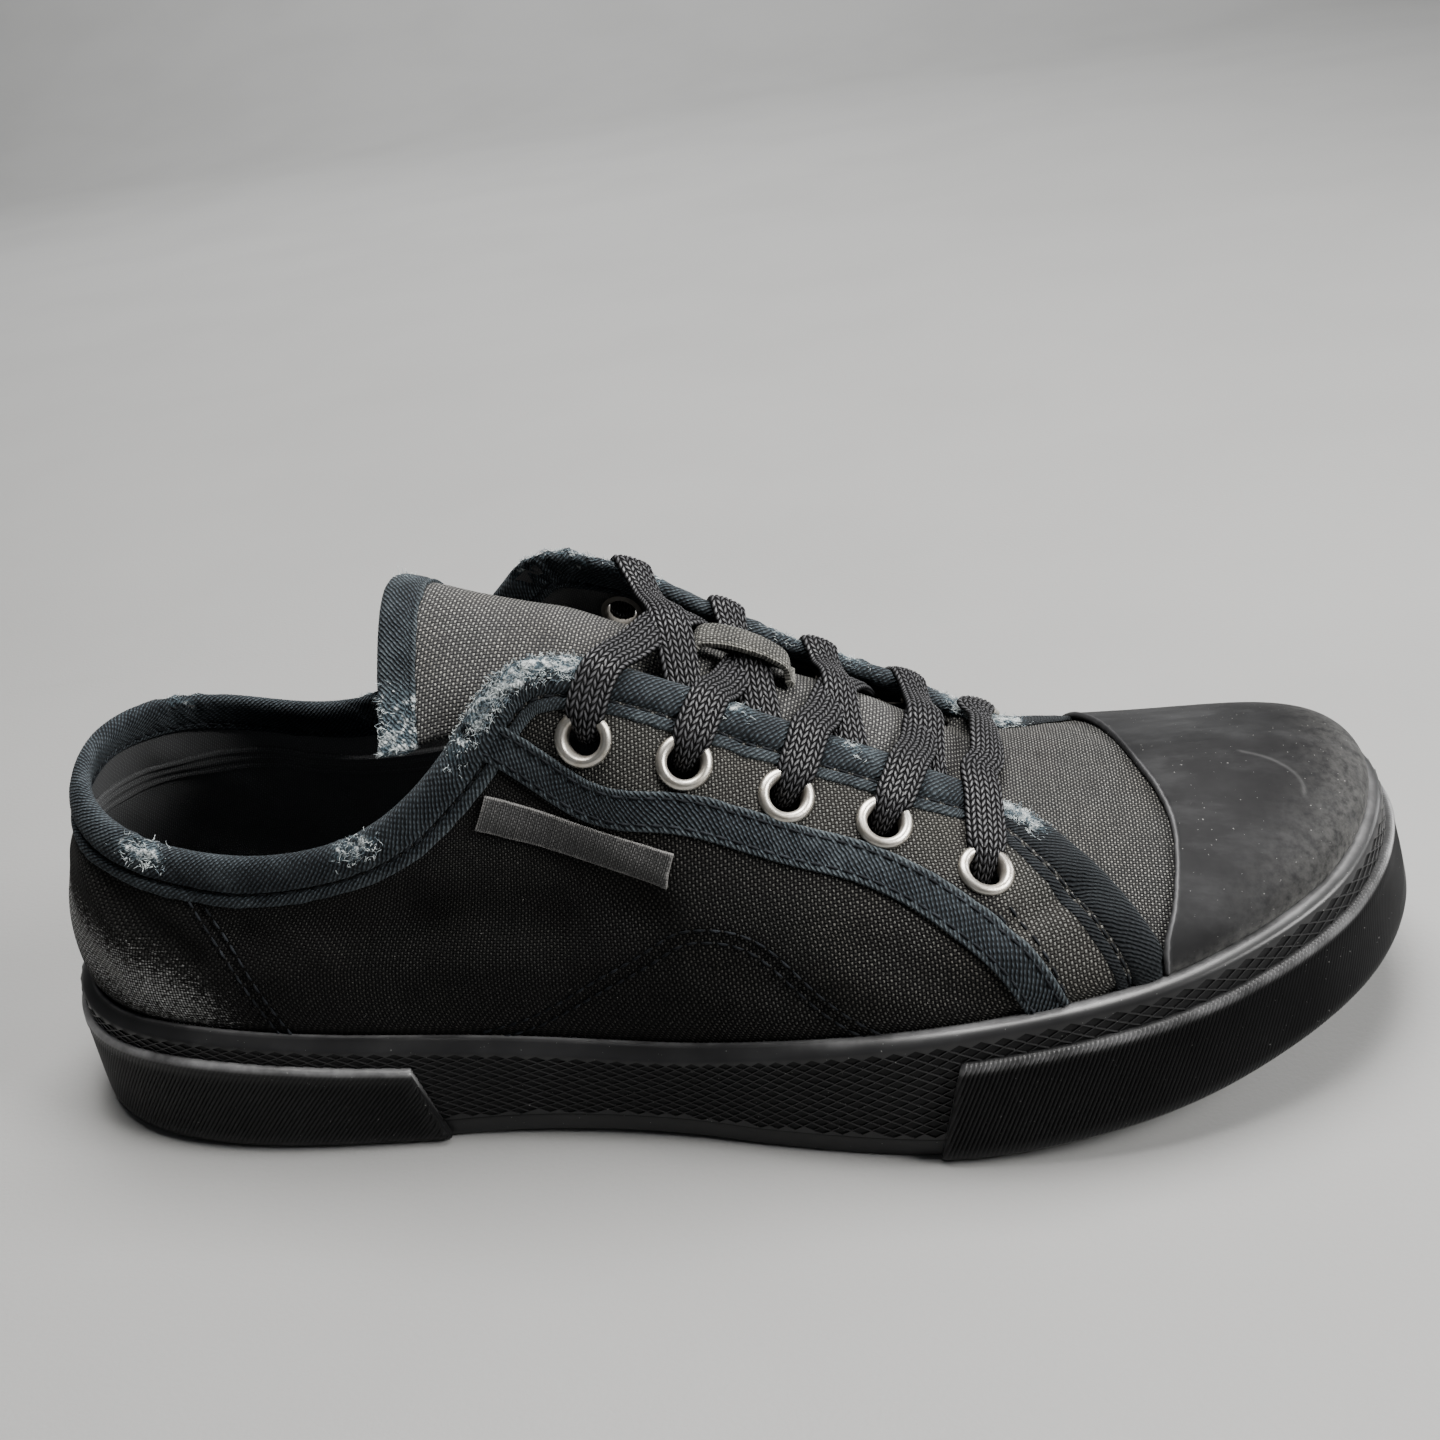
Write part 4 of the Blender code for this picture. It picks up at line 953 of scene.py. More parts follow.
# Its section: height over the canvas and place up from the edge.
BINDING = ((0.55, -9.0), (1.05, -8.9), (1.30, -8.4), (1.34, -7.6), (1.28, -6.9),
           (0.72, -6.45), (0.40, -6.15), (0.80, -5.85), (1.55, -5.3), (1.95, -4.4), (2.15, -3.4),
           (2.20, -2.3), (2.10, -1.2), (1.90, -0.2), (1.50, 0.7), (1.0, 1.3), (0.3, 1.6),
           (-0.5, 1.6), (-1.2, 1.1), (-1.7, 0.3), (-1.95, -0.7), (-2.0, -2.0), (-1.95, -3.4),
           (-1.90, -4.6), (-1.70, -5.4), (-1.50, -5.8), (-1.70, -6.2), (-1.85, -6.8),
           (-1.70, -7.5), (-1.25, -7.8), (-0.6, -8.0))
BINDING_FRONT_LOW = 0.2
# Rear edge of the toe cap, under which the binding's foot is pressed flat: x, y.
CAP_EDGE = ((90.6, -52.0), (91.6, -42.0), (94.2, -36.0), (96.0, -28.0), (96.7, -18.5),
            (95.2, -9.0), (92.4, 0.5), (90.2, 9.0), (87.6, 18.0), (84.6, 26.5), (81.8, 34.0),
            (79.6, 42.0), (78.6, 54.0))
CAP_REAR = np.array(smooth_path(CAP_EDGE))
UNDER_CAP = 0.8        # most that the pressed binding stands over the last
# Places where the binding is worn through: t, v, half their length in mm, and strength.
FRAYS = (
    (1.96, 1.0, 6.0, 0.8), (3.86, 1.0, 5.0, 0.8), (26.65, 1.0, 6.0, 0.8), (24.78, 1.0, 5.0, 0.8),
    (5.04, 1.0, 6.0, 0.6), (5.28, 1.0, 6.5, 0.85), (5.52, 1.0, 6.5, 0.9), (5.80, 1.0, 7.0, 1.0),
    (6.12, 1.0, 6.0, 0.8), (22.50, 1.0, 7.0, 0.9), (22.10, 1.0, 7.0, 1.0),
    (21.66, 1.0, 7.0, 0.9), (19.02, 1.0, 5.0, 1.0),
    (18.80, 0.90, 6.0, 1.0), (18.60, 0.76, 5.0, 0.8), (6.95, 1.0, 7.0, 0.5),
    (7.95, 1.0, 6.0, 0.4), (20.78, 1.0, 7.0, 0.5), (20.19, 1.0, 7.0, 0.55),
    (9.30, 0.82, 5.0, 0.9), (9.46, 0.75, 5.0, 0.95), (9.56, 0.68, 3.0, 0.5),
)
FRAY_PLACES = [(shell(t, v), half, strong) for t, v, half, strong in FRAYS]


def frayed(p):
    """How far the binding is worn through near a point, from 0 to 1."""
    worst = np.zeros(p.shape[:-1])
    for centre, half, strong in FRAY_PLACES:
        worst = np.maximum(worst, strong * bell(np.linalg.norm(p - centre, axis=-1), half))
    return worst


def even_path(path, step, soft=0.0):
    """A path of t and v, walked in even steps of mm and rounded off over soft mm."""
    path = np.asarray(path, float)
    walk = run_along(shell(*path.T), 0)
    count = int(round(walk[-1] / step)) + 1
    even = np.stack([np.interp(np.linspace(0, walk[-1], count), walk, column)
                     for column in path.T], -1)
    if soft:
        reach = int(3 * soft / step)
        weights = np.exp(-(np.arange(-reach, reach + 1) * step / soft) ** 2 / 2)
        padded = np.pad(even, ((reach, reach), (0, 0)), mode="reflect", reflect_type="odd")
        even = np.stack([np.convolve(column, weights / weights.sum(), "valid")
                         for column in padded.T], -1)
    return even


def free_side(path):
    """Unit vectors in the canvas's face, square to a path and on its right when it is
    walked with the outward normal up."""
    ahead = unit(np.gradient(shell(*path.T), axis=0))
    return unit(np.cross(ahead, shell_way(*path.T)))


def ribbon(path, reach, step=1.0):
    """Places beside a path at a whole number of steps to its left, as t and v."""
    t, v = path.T.copy()
    way = free_side(path)
    levels = [(t, v)]
    for _ in range(int(math.ceil(reach / step))):
        by_t = (shell(t + 1e-3, v) - shell(t - 1e-3, v)) / 2e-3
        by_v = (shell(t, v + 1e-3) - shell(t, v - 1e-3)) / 2e-3
        a, b, c = (by_t**2).sum(-1), (by_t * by_v).sum(-1), (by_v**2).sum(-1)
        e, f = (by_t * way).sum(-1), (by_v * way).sum(-1)
        det = a * c - b * b
        t = t - step * (e * c - f * b) / det
        v = v - step * (f * a - e * b) / det
        levels.append((t, v))
    return np.array(levels)


def beside(levels, reach, step=1.0):
    """t and v at a distance to the left of a ribbon's path; reach holds one value for each
    station, or for each station and section point."""
    at = np.clip(np.asarray(reach, float) / step, 0, len(levels) - 1.001)
    low = np.floor(at).astype(int)
    share = at - low
    station = np.arange(levels.shape[2])
    if at.ndim == 2:
        station = station[:, None]
    first, second = levels[low, :, station], levels[low + 1, :, station]
    mixed = first * (1 - share)[..., None] + second * share[..., None]
    return mixed[..., 0], mixed[..., 1]


def section_along(section, count):
    """Both columns of a closed section, repeated for each of count stations."""
    return [np.tile(column, (count, 1)) for column in np.array(section + section[:1]).T]


def quarter_outline():
    """t and v along the quarters' edge, from the lateral foot round to the medial foot."""
    v = np.linspace(-0.12, 0.995, 80)
    front = np.stack([front_edge(v), v], -1)
    t = np.linspace(front[-1, 0], 0.0, 300)[1:]
    collar = np.stack([t, np.ones_like(t)], -1)
    half = np.concatenate([front, collar])
    other = half[-2::-1] * (-1.0, 1.0)
    return np.concatenate([half, other])


OUTLINE = even_path(quarter_outline(), BINDING_STEP, 3.0)
OUTLINE[:, 1] = np.minimum(OUTLINE[:, 1], 1.0)
OUTLINE_RIBBON = ribbon(OUTLINE, 14.0)


def on_front(v):
    """1 where the edge runs down the front over the vamp, and 0 on the throat and collar."""
    return held((0.97 - v) / 0.10)


def on_binding(out, up, stations=slice(None)):
    """Points by height over the canvas and place up from the edge, one row a station."""
    path, levels = OUTLINE[stations], OUTLINE_RIBBON[:, :, stations]
    out, up = np.broadcast_arrays(out, up)
    front = on_front(path[:, 1])[:, None]
    low = np.maximum(out, BINDING_FRONT_LOW)
    out = out * (1 - front) + (low * 0.62 + 0.1) * front
    t, v = beside(levels, -np.minimum(up, 0.0))
    points = skin(t, np.minimum(v, 1.0), out)
    return points + free_side(OUTLINE)[stations][:, None] * np.maximum(up, 0.0)[..., None]


def make_binding():
    count = len(OUTLINE)
    rng = np.random.default_rng(21)
    out, up = section_along(BINDING, count)
    fray = frayed(shell(*OUTLINE.T))[:, None]
    slow = np.convolve(rng.normal(size=count + 60), np.hanning(25) / 5, "same")[30:-30, None]
    quick = np.convolve(rng.normal(size=count + 60), np.hanning(5) / 2, "same")[30:-30, None]
    lip = bell(up + 8.8, 1.1)
    up += slow * 0.30 * (up < -4.6) + quick * 0.14 * lip
    roll = bell(up + 1.6, 2.7)
    out += np.sign(out) * (slow * 0.12 + quick * 0.05) * roll
    rough = rng.normal(size=(count + 2, out.shape[1] + 2))
    clump = sum(rough[i:i + count, j:j + out.shape[1]] for i in range(3) for j in range(3)) / 3
    rough = (rough[1:-1, 1:-1] * 0.26 + clump * 0.40) * fray * held((up + 6.8) / 4)
    rough[:, -1] = rough[:, 0]
    out += rough - fray * 0.5 * roll * np.sign(out)
    points = on_binding(out, up)
    pressed = points[..., 0] > np.interp(points[..., 1], CAP_REAR[:, 1], CAP_REAR[:, 0]) + 0.4
    points = closed_ends(on_binding(
        np.where(pressed, np.minimum(out, UNDER_CAP - CANVAS_LIFT), out), up))
    walk = np.arange(count)[:, None] * BINDING_STEP + np.zeros_like(out)
    round_way = run_along(points[count // 2], 0)[None] + np.zeros_like(out)
    front = on_front(OUTLINE[:, 1])[:, None]
    worn = (bell(up + 8.9, 0.6) * (out > 0) * 0.6
            + bell(up - 1.0, 2.2) * 0.25 * front + fray * 0.15)
    patch = rng.normal(size=out.shape)
    patch[:, -1] = patch[:, 0]
    crest = bell(up + 0.7, 2.1) * (out > -1.2)
    torn = held(fray * (crest * 1.15 + 0.16 * patch))
    # The binding's run down the front is marked to be darkened as painted shade.
    piece = laid("collar_binding", points, np.stack([walk, round_way], -1),
                 {"fray": torn, "worn": worn, "deep": front + np.zeros_like(out)}, TWILL)
    sewn(piece, turn=True)
    shown(piece, "canvas")


make_binding()


# ---------- heel lining
# The lining is quilted round the inside of the heel with three padded ridges, stitched
# down between one and the next. Their section: height over the lining and place up it.
LINING_RIDGES = ((-0.5, -0.9), (0.15, -0.8), (0.65, -0.5), (0.95, 0.0), (0.65, 0.5), (0.15, 1.0),
                 (0.65, 1.7), (0.95, 2.2), (0.65, 2.7), (0.15, 3.2), (0.65, 3.9), (0.95, 4.4),
                 (0.65, 4.9), (0.15, 5.2), (-0.5, 5.3), (-0.6, 2.2))
RIDGE_PATH = ((-4.9, 0.50), (-3.0, 0.54), (0.0, 0.56), (3.0, 0.54), (4.9, 0.50))
RIDGE_STEP = 1.2


def make_lining_ridges():
    path = even_path(smooth_path(RIDGE_PATH), RIDGE_STEP)
    out, over = section_along(LINING_RIDGES, len(path))
    t, v = beside(ribbon(path, 8.0), over + 0.9)
    points = closed_ends(skin(t, v, CANVAS_LIFT - CANVAS_THICK - out))
    walk = np.arange(len(path))[:, None] * RIDGE_STEP + np.zeros_like(out)
    piece = laid("lining_ridges", points, np.stack([walk, over], -1), {}, lining_finish())
    sewn(piece, turn=True)
    shown(piece, "canvas")


make_lining_ridges()


# ---------- eyestay tapes
# A flat twill tape on each quarter, from the collar under the eyelets to the foxing, sewn
# down near both edges.
TAPE_EDGE = ((4.96, 1.0), (5.12, 0.90), (5.42, 0.67), (5.66, 0.58), (5.96, 0.54), (6.44, 0.535),
             (7.02, 0.525), (7.60, 0.505), (8.08, 0.44), (8.46, 0.325), (8.74, 0.18), (8.96, -0.05))
TAPE_WIDTH, TAPE_STEP = 7.8, 0.9
# Section of the tape: height over the canvas and place across it.
TAPE = ((0.70, 0.0), (1.30, -0.10), (1.52, 0.25), (1.46, 0.8), (1.30, 1.3), (1.36, 1.9),
        (1.40, 2.9), (1.42, 3.9), (1.40, 4.9), (1.36, 5.9), (1.30, 6.5), (1.46, 7.0),
        (1.52, 7.55), (1.30, 7.9), (0.70, 7.8), (0.60, 3.9))


def make_tape(name, path):
    """Lay the tape on the left of its lower edge, for a path walked from heel to toe."""
    path = even_path(smooth_path(path), TAPE_STEP, 2.0)
    levels = ribbon(path, 9.0)
    rng = np.random.default_rng(5)
    out, over = section_along(TAPE, len(path))
    quick = np.convolve(rng.normal(size=len(path)), np.hanning(5) / 2, "same")[:, None]
    over += quick * 0.10 * (np.abs(over - TAPE_WIDTH / 2) > 3.2)
    t, v = beside(levels, np.maximum(over, 0.0))
    points = closed_ends(skin(t, np.minimum(v, 1.0), out))
    walk = np.arange(len(path))[:, None] * TAPE_STEP + np.zeros_like(out)
    worn = bell(np.abs(over - TAPE_WIDTH / 2) - 3.7, 0.5) * 0.75
    piece = laid(name, points, np.stack([walk, over], -1), {"fray": 0.0, "worn": worn}, TWILL)
    sewn(piece, turn=True)
    shown(piece, "canvas")
    return levels


def mirrored(path):
    """The medial twin of a path, walked the other way so that its left stays its left."""
    return twin(path)[::-1]


TAPE_RIBBONS = [make_tape("eyestay_tape_lateral", TAPE_EDGE),
                make_tape("eyestay_tape_medial", mirrored(TAPE_EDGE))]


# ---------- stitching
# Black polyester thread: the lockstitch that holds the binding, the tapes' two rows, and
# the double rows of the heel counter, the side arc and the quarter's front.
STITCH_LONG, STITCH_THICK, STITCH_PITCH = 2.5, 0.62, 3.1
THREAD_COLOUR = (0.0055, 0.0065, 0.0080)
FRONT_SEAM = ((8.93, 0.42), (9.02, 0.33), (9.14, 0.165), (9.22, 0.0))
ROW_HALF = 1.3         # half the gap of a double row


def thread_finish():
    """Twisted black thread, dusty on top."""
    thread = Finish("black thread")
    fibre = thread.grain(2400.0, 2.0)
    dust = thread.grain(180.0, 3.0)
    colour = thread.blend(dust.rise(0.45, 0.75) * 0.6, THREAD_COLOUR, (0.030, 0.034, 0.040))
    return thread.coat(Base_Color=colour, Roughness=0.80, Specular_IOR_Level=0.12,
                       Normal=thread.bump(fibre, 0.0001, 0.7))


def modelled_stitch():
    """One stitch as points and faces, with its ends bent down into the cloth."""
    bpy.ops.object.select_all(action="DESELECT")
    bpy.ops.mesh.primitive_uv_sphere_add(segments=6, ring_count=6, radius=1.0,
                                         rotation=(0.0, math.pi / 2, 0.0))
    stitch = bpy.context.object
    bpy.ops.object.transform_apply()
    stitch.scale = (STITCH_LONG / 2, STITCH_THICK / 2, STITCH_THICK / 2)
    bpy.ops.object.transform_apply()
    points = np.array([v.co for v in stitch.data.vertices])
    points[:, 2] -= (points[:, 0] / STITCH_LONG * 2) ** 2 * 0.22
    faces = [tuple(f.vertices) for f in stitch.data.polygons]
    bpy.data.objects.remove(stitch)
    return points, faces


STITCH = modelled_stitch()


def joined_copies(name, model, frames, material):
    """One mesh of copies of a model, each with its point, its way along and its way up."""
    points, faces = model
    verts, quads = [], []
    for at, ahead, up in frames:
        cross = np.cross(up, ahead)
        base = len(verts) * len(points)
        verts.append(at + points[:, :1] * ahead + points[:, 1:2] * cross + points[:, 2:] * up)
        quads += [tuple(base + i for i in face) for face in faces]
    return built(name, np.concatenate(verts), quads, material)


def stitches_on(path, lift, pitch=STITCH_PITCH):
    """Frames of a row of stitches along a path of t and v."""
    path = even_path(path, pitch)
    points = skin(path[:, 0], np.minimum(path[:, 1], 1.0), lift)
    ahead = unit(np.gradient(points, axis=0))
    up = shell_way(*path.T)
    up = unit(up - ahead * (ahead * up).sum(-1, keepdims=True))
    return list(zip(points, ahead, up))


def row_in(levels, reach):
    """The path that lies in a ribbon at a reach."""
    return np.stack(beside(levels, np.full(levels.shape[2], reach)), -1)


def double_row(path, lift):
    """Two rows, one on each side of a path."""
    levels = ribbon(even_path(smooth_path(path), 1.0, 1.0), 4.0)
    other = ribbon(even_path(smooth_path(path), 1.0, 1.0)[::-1], 4.0)
    return (stitches_on(row_in(levels, ROW_HALF), lift)
            + stitches_on(row_in(other, ROW_HALF), lift))


def make_stitching():
    rows = []
    for levels in TAPE_RIBBONS:
        rows += stitches_on(row_in(levels, 1.35), 1.46) + stitches_on(row_in(levels, 6.45), 1.46)
    for path in (ARC_SEAM, COUNTER_SEAM, FRONT_SEAM):
        rows += double_row(path, CANVAS_LIFT + 0.22) + double_row(twin(path), CANVAS_LIFT + 0.22)
    rows += stitches_on(row_in(OUTLINE_RIBBON, 6.3), 0.80)
    inner = row_in(OUTLINE_RIBBON, 5.9)
    rows += [(at, ahead, -up) for at, ahead, up in
             stitches_on(inner[(inner[:, 1] > 0.7) & (np.abs(inner[:, 0]) < 6.5)], -1.75)]
    piece = joined_copies("stitching", STITCH, rows, thread_finish())
    shown(piece, "canvas")


make_stitching()


# ---------- frays
# Where the binding is worn through, its white filling threads stand out in soft tufts.
FRAY_FIBRES = 230      # on a spot of full strength
FIBRE_THICK, FIBRE_SIDES, FIBRE_JOINTS = 0.075, 3, 4


def fibre_finish():
    """Undyed cotton, still blue in part."""
    cotton = Finish("bare cotton")
    tint = cotton.grain(420.0, 2.0)
    colour = cotton.blend(tint.rise(0.36, 0.64), (0.060, 0.095, 0.120), (0.55, 0.60, 0.60))
    return cotton.coat(Base_Color=colour, Roughness=0.9, Specular_IOR_Level=0.2,
                       Sheen_Weight=0.3, Sheen_Roughness=0.5,
                       Normal=cotton.bump(tint, 0.00005))


def curled_fibre(rng, at, ahead, up, long):
    """Rings of one thin fibre that leaves a point and curls over."""
    turn = rng.normal(size=3) * 0.35
    point, way, rings = at.copy(), unit(up + ahead * rng.normal() * 0.6), []
    for joint in range(FIBRE_JOINTS):
        cross = unit(np.cross(way, (0.31, 0.52, 0.79)))
        other = np.cross(way, cross)
        thick = FIBRE_THICK * (1.0 - 0.6 * joint / FIBRE_JOINTS)
        rings.append([point + thick * (math.cos(a) * cross + math.sin(a) * other)
                      for a in np.arange(FIBRE_SIDES) * 2 * math.pi / FIBRE_SIDES])
        way = unit(way + (np.cross(turn, way) + rng.normal(size=3) * 0.22) * 0.8)
        point = point + way * long / FIBRE_JOINTS
    return rings


def make_frays():
    rng = np.random.default_rng(8)
    edge, free, up = shell(*OUTLINE.T), free_side(OUTLINE), shell_way(*OUTLINE.T)
    ahead = np.cross(up, free)
    places = np.linspace(-3.6, 1.6, 14)
    ground = on_binding(np.interp(places, (-3.6, -1, 1.6), (2.0, 2.05, 0.3))[None], places[None])
    verts, faces = [], []

    def grow(at, run, rise, long):
        base, last = len(verts), (FIBRE_JOINTS - 1) * FIBRE_SIDES
        for ring in curled_fibre(rng, at, run, rise, long):
            verts.extend(ring)
        for first in range(base, base + last, FIBRE_SIDES):
            for k in range(FIBRE_SIDES):
                a, b = first + k, first + (k + 1) % FIBRE_SIDES
                faces.append((a, b, b + FIBRE_SIDES, a + FIBRE_SIDES))
        faces.append(tuple(base + k for k in reversed(range(FIBRE_SIDES))))
        faces.append(tuple(base + last + k for k in range(FIBRE_SIDES)))

    for centre, half, strong in FRAY_PLACES:
        nearest = int(np.argmin(np.linalg.norm(edge - centre, axis=-1)))
        for _ in range(int(FRAY_FIBRES * strong ** 2 * half / 5)):
            i = int(np.clip(nearest + rng.normal() * half * 0.55 / BINDING_STEP, 2, len(edge) - 3))
            j = int(rng.integers(len(places)))
            at = ground[i, j] + ahead[i] * rng.uniform(-0.5, 0.5)
            if rng.random() < 0.7:
                flat_way = unit(ahead[i] * rng.choice((-1, 1)) + free[i] * rng.normal() * 0.3
                                + up[i] * 0.14)
                grow(at, ahead[i], flat_way, rng.uniform(0.9, 2.4))
            else:
                lean = unit(up[i] * (0.6 if places[j] < 0 else 0.1)
                            + free[i] * (0.3 + 0.25 * places[j]))
                grow(at, ahead[i], lean, rng.uniform(0.4, 1.3))
    for share, half, strong in TONGUE_FRAYS:
        for _ in range(int(FRAY_FIBRES * strong ** 2)):
            across = float(np.clip(share + rng.normal() * half / 50, -1.0, 1.0))
            at = tongue_skin(TONGUE_TO + rng.uniform(-0.5, 3.0), across, 0.8)
            way = tongue_way(TONGUE_TO, across)
            edge_way = np.array((-0.8, 0.6 * np.sign(share), 0.2)) + way * 0.4
            grow(at, np.array((0.0, 1.0, 0.0)), unit(edge_way), rng.uniform(0.9, 2.8))
    shown(built("frayed_cotton", np.array(verts), faces, fibre_finish()), "canvas")


make_frays()


# ---------- side tab
# A plain woven satin tape, folded under at both ends and sewn on the outer quarter.
TAB_FOOT, TAB_TOP = ((-36.6, 70.4), (0.6, 58.0)), ((-33.6, 77.0), (2.8, 64.6))
TAB_COLUMNS, TAB_ROWS = 70, 16
TAB_LIFT, TAB_THICK = 0.55, 0.75


def on_quarter(x, z):
    """t and v of the lateral quarter's point with this x and z, by Newton's method."""
    place = np.array((5.5, 0.6))
    for _ in range(20):
        miss = shell(*place)[[0, 2]] - (x, z)
        by_t = (shell(place[0] + 1e-3, place[1])[[0, 2]] - (x, z) - miss) / 1e-3
        by_v = (shell(place[0], place[1] + 1e-3)[[0, 2]] - (x, z) - miss) / 1e-3
        place -= np.linalg.solve(np.stack([by_t, by_v], 1), miss)
    return place


def satin_finish():
    """Black satin ribbon with a fine rib across, rubbed grey at its edges."""
    satin = Finish("woven satin")
    x, y = satin.flat()
    rib = (x * (2 * math.pi / 0.42)).maths("SINE") * 0.5 + 0.5
    cloud = satin.grain(150.0, 4.0)
    rub = satin.noise(satin.joined(x * 0.4, y * 1.4), 1.0, 4.0, 0.7)
    worn = satin.mark("worn")
    weave = plain_weave(satin, x, y, 0.55)
    colour = satin.blend(cloud.rise(0.3, 0.75), (0.055, 0.055, 0.055), (0.105, 0.104, 0.100))
    colour = satin.blend(weave.rise(0.35, 0.95), (0.018, 0.018, 0.018), colour)
    colour = satin.blend((rub + worn * 0.5).rise(0.62, 0.95) * 0.8, colour, (0.17, 0.165, 0.16))
    return satin.coat(Base_Color=colour, Roughness=0.50 + cloud * 0.2, Specular_IOR_Level=0.4,
                      Normal=satin.bump(rib + weave + cloud * 0.5, 0.00016, 0.8))


def make_tab():
    rows = []
    for ends in (TAB_FOOT, TAB_TOP):
        at = np.array(ends[0]) + np.linspace(0, 1, TAB_COLUMNS)[:, None] * np.subtract(*ends[::-1])
        rows.append(np.array([on_quarter(x, z) for x, z in at]))
    share = np.linspace(0, 1, TAB_ROWS)[:, None, None]
    places = rows[0] * (1 - share) + rows[1] * share
    u = np.linspace(0, 1, TAB_COLUMNS)[None]
    w = share[..., 0]
    fold = 0.45 * (bell(u, 0.05) + bell(1 - u, 0.05))
    sag = (0.22 * np.sin(u * 9.0 + w * 2.0) * np.sin(w * math.pi)
           + 0.35 * np.sin(w * math.pi) * np.sin(u * math.pi) ** 0.5)
    curl = 0.5 * bell(u - 0.93, 0.05) * w
    lift = CANVAS_LIFT + TAB_LIFT + fold + sag + curl
    points = skin(places[..., 0], places[..., 1], lift)
    flat = np.stack([run_along(points, 1), run_along(points, 0)], -1)
    edge = np.minimum(np.minimum(u, 1 - u) * 38, np.minimum(w, 1 - w) * 7)
    piece = laid("side_tape", points, flat, {"worn": bell(edge, 0.5)}, satin_finish())
    finished(piece, "SOLIDIFY", thickness=TAB_THICK * MM, offset=-1.0)
    finished(piece, "BEVEL", width=0.0002, segments=2, angle_limit=math.radians(50))
    shown(piece, "satin", "side_tab")


make_tab()


# ---------- keeper
# A loop of greyed canvas tape along the middle of the tongue, sewn down at both ends. The
# second crossing of the lace passes under it.
KEEPER_X, KEEPER_HALF, KEEPER_WIDTH, KEEPER_THICK = 14.2, 10.6, 8.0, 1.2
KEEPER_ARCH = ((-1.0, 1.1), (-0.88, 1.5), (-0.76, 4.6), (-0.4, 5.9), (0.0, 6.2),
               (0.4, 5.9), (0.76, 4.6), (0.88, 1.5), (1.0, 1.1))
KEEPER_LONG, KEEPER_ACROSS = 90, 22
KEEPER_TWIST = 0.10    # how far each half is turned, in radians


def keeper_finish():
    """Washed-out grey canvas with a soft nap."""
    cloth = Finish("keeper canvas")
    x, y = cloth.flat()
    weave = plain_weave(cloth, x, y, 0.72, 0.2)
    fluff = cloth.grain(1500.0, 3.0)
    cloud = cloth.grain(170.0, 4.0)
    worn = cloth.mark("worn")
    colour = cloth.blend(weave.rise(0.35, 0.95) * (0.3 + fluff), (0.008, 0.008, 0.007),
                         (0.21, 0.205, 0.185))
    colour = cloth.blend((worn * 0.8 + cloud - 0.42).maths("MAXIMUM", 0.0) * (0.2 + weave), colour,
                         (0.24, 0.235, 0.21))
    return cloth.coat(Base_Color=colour, Roughness=0.93, Specular_IOR_Level=0.2,
                      Sheen_Weight=0.06, Sheen_Roughness=0.5,
                      Normal=cloth.bump(weave + fluff * 0.8, 0.0005, 1.0))


def make_keeper():
    arch = smooth_path(KEEPER_ARCH).T
    share, high = (np.interp(np.linspace(0, 1, KEEPER_LONG), np.linspace(0, 1, len(column)),
                             column) for column in arch)
    x = KEEPER_X + share * KEEPER_HALF
    points = tongue_point(x, 0.0) + tongue_way(x, 0.0) * high[:, None]
    ahead = unit(np.gradient(points, axis=0))
    cross = np.cross(ahead, tongue_way(x, 0.0))
    up = np.cross(unit(cross), ahead)
    w = np.linspace(1, -1, KEEPER_ACROSS)
    rng = np.random.default_rng(6)
    ragged = np.convolve(rng.normal(size=KEEPER_LONG), np.hanning(5) / 2, "same") * 0.09
    turn = KEEPER_TWIST * share
    cross = unit(cross) * np.cos(turn)[:, None] + up * np.sin(turn)[:, None]
    wide = KEEPER_WIDTH / 2 + ragged
    curl = 0.55 * np.abs(w) ** 3 * held((high - 1.5) / 3)[:, None]
    grid = (points[:, None] + cross[:, None] * (wide[:, None] * w)[..., None]
            - up[:, None] * curl[..., None])
    flat = np.stack([run_along(grid, 0), run_along(grid, 1)], -1)
    worn = np.maximum(np.abs(w)[None] ** 8 * 0.6, (np.clip(share, 0.6, 1.0)[:, None] - 0.6) * 1.6)
    piece = laid("lace_loop", grid, flat, {"worn": worn}, keeper_finish())
    sewn(piece)
    finished(piece, "SOLIDIFY", thickness=KEEPER_THICK * MM, offset=0.0)
    finished(piece, "BEVEL", width=0.0003, segments=2, angle_limit=math.radians(50))
    shown(piece, "canvas", "lace_keeper")


make_keeper()


# ---------- insole
# A cushioned sock of dark cloth over foam, dished under the heel and the ball, that lies
# on the filler of the outsole.
WALL, GAP = 2.0, 0.3
FOOTBED, INSOLE_THICK, INSOLE_ROUND = 9.3, 4.5, 1.2
SOCK_ACROSS = 40


def sock_finish():
    """Black cloth with a hint of green-blue, fluffed by wear."""
    cloth = Finish("insole cloth")
    x, y = cloth.flat()
    weave = plain_weave(cloth, x, y, 0.8, 0.2)
    cloud = cloth.grain(45.0, 5.0, 0.65)
    fluff = cloth.grain(1300.0, 2.0)
    colour = cloth.blend(weave * (0.4 + cloud), (0.006, 0.010, 0.011), (0.022, 0.034, 0.037))
    colour = cloth.blend((fluff > 0.68) * 0.35, colour, (0.09, 0.10, 0.10))
    return cloth.coat(Base_Color=colour, Roughness=0.92, Specular_IOR_Level=0.2,
                      Sheen_Weight=0.3, Normal=cloth.bump(weave + fluff * 0.4, 0.0002, 0.8))


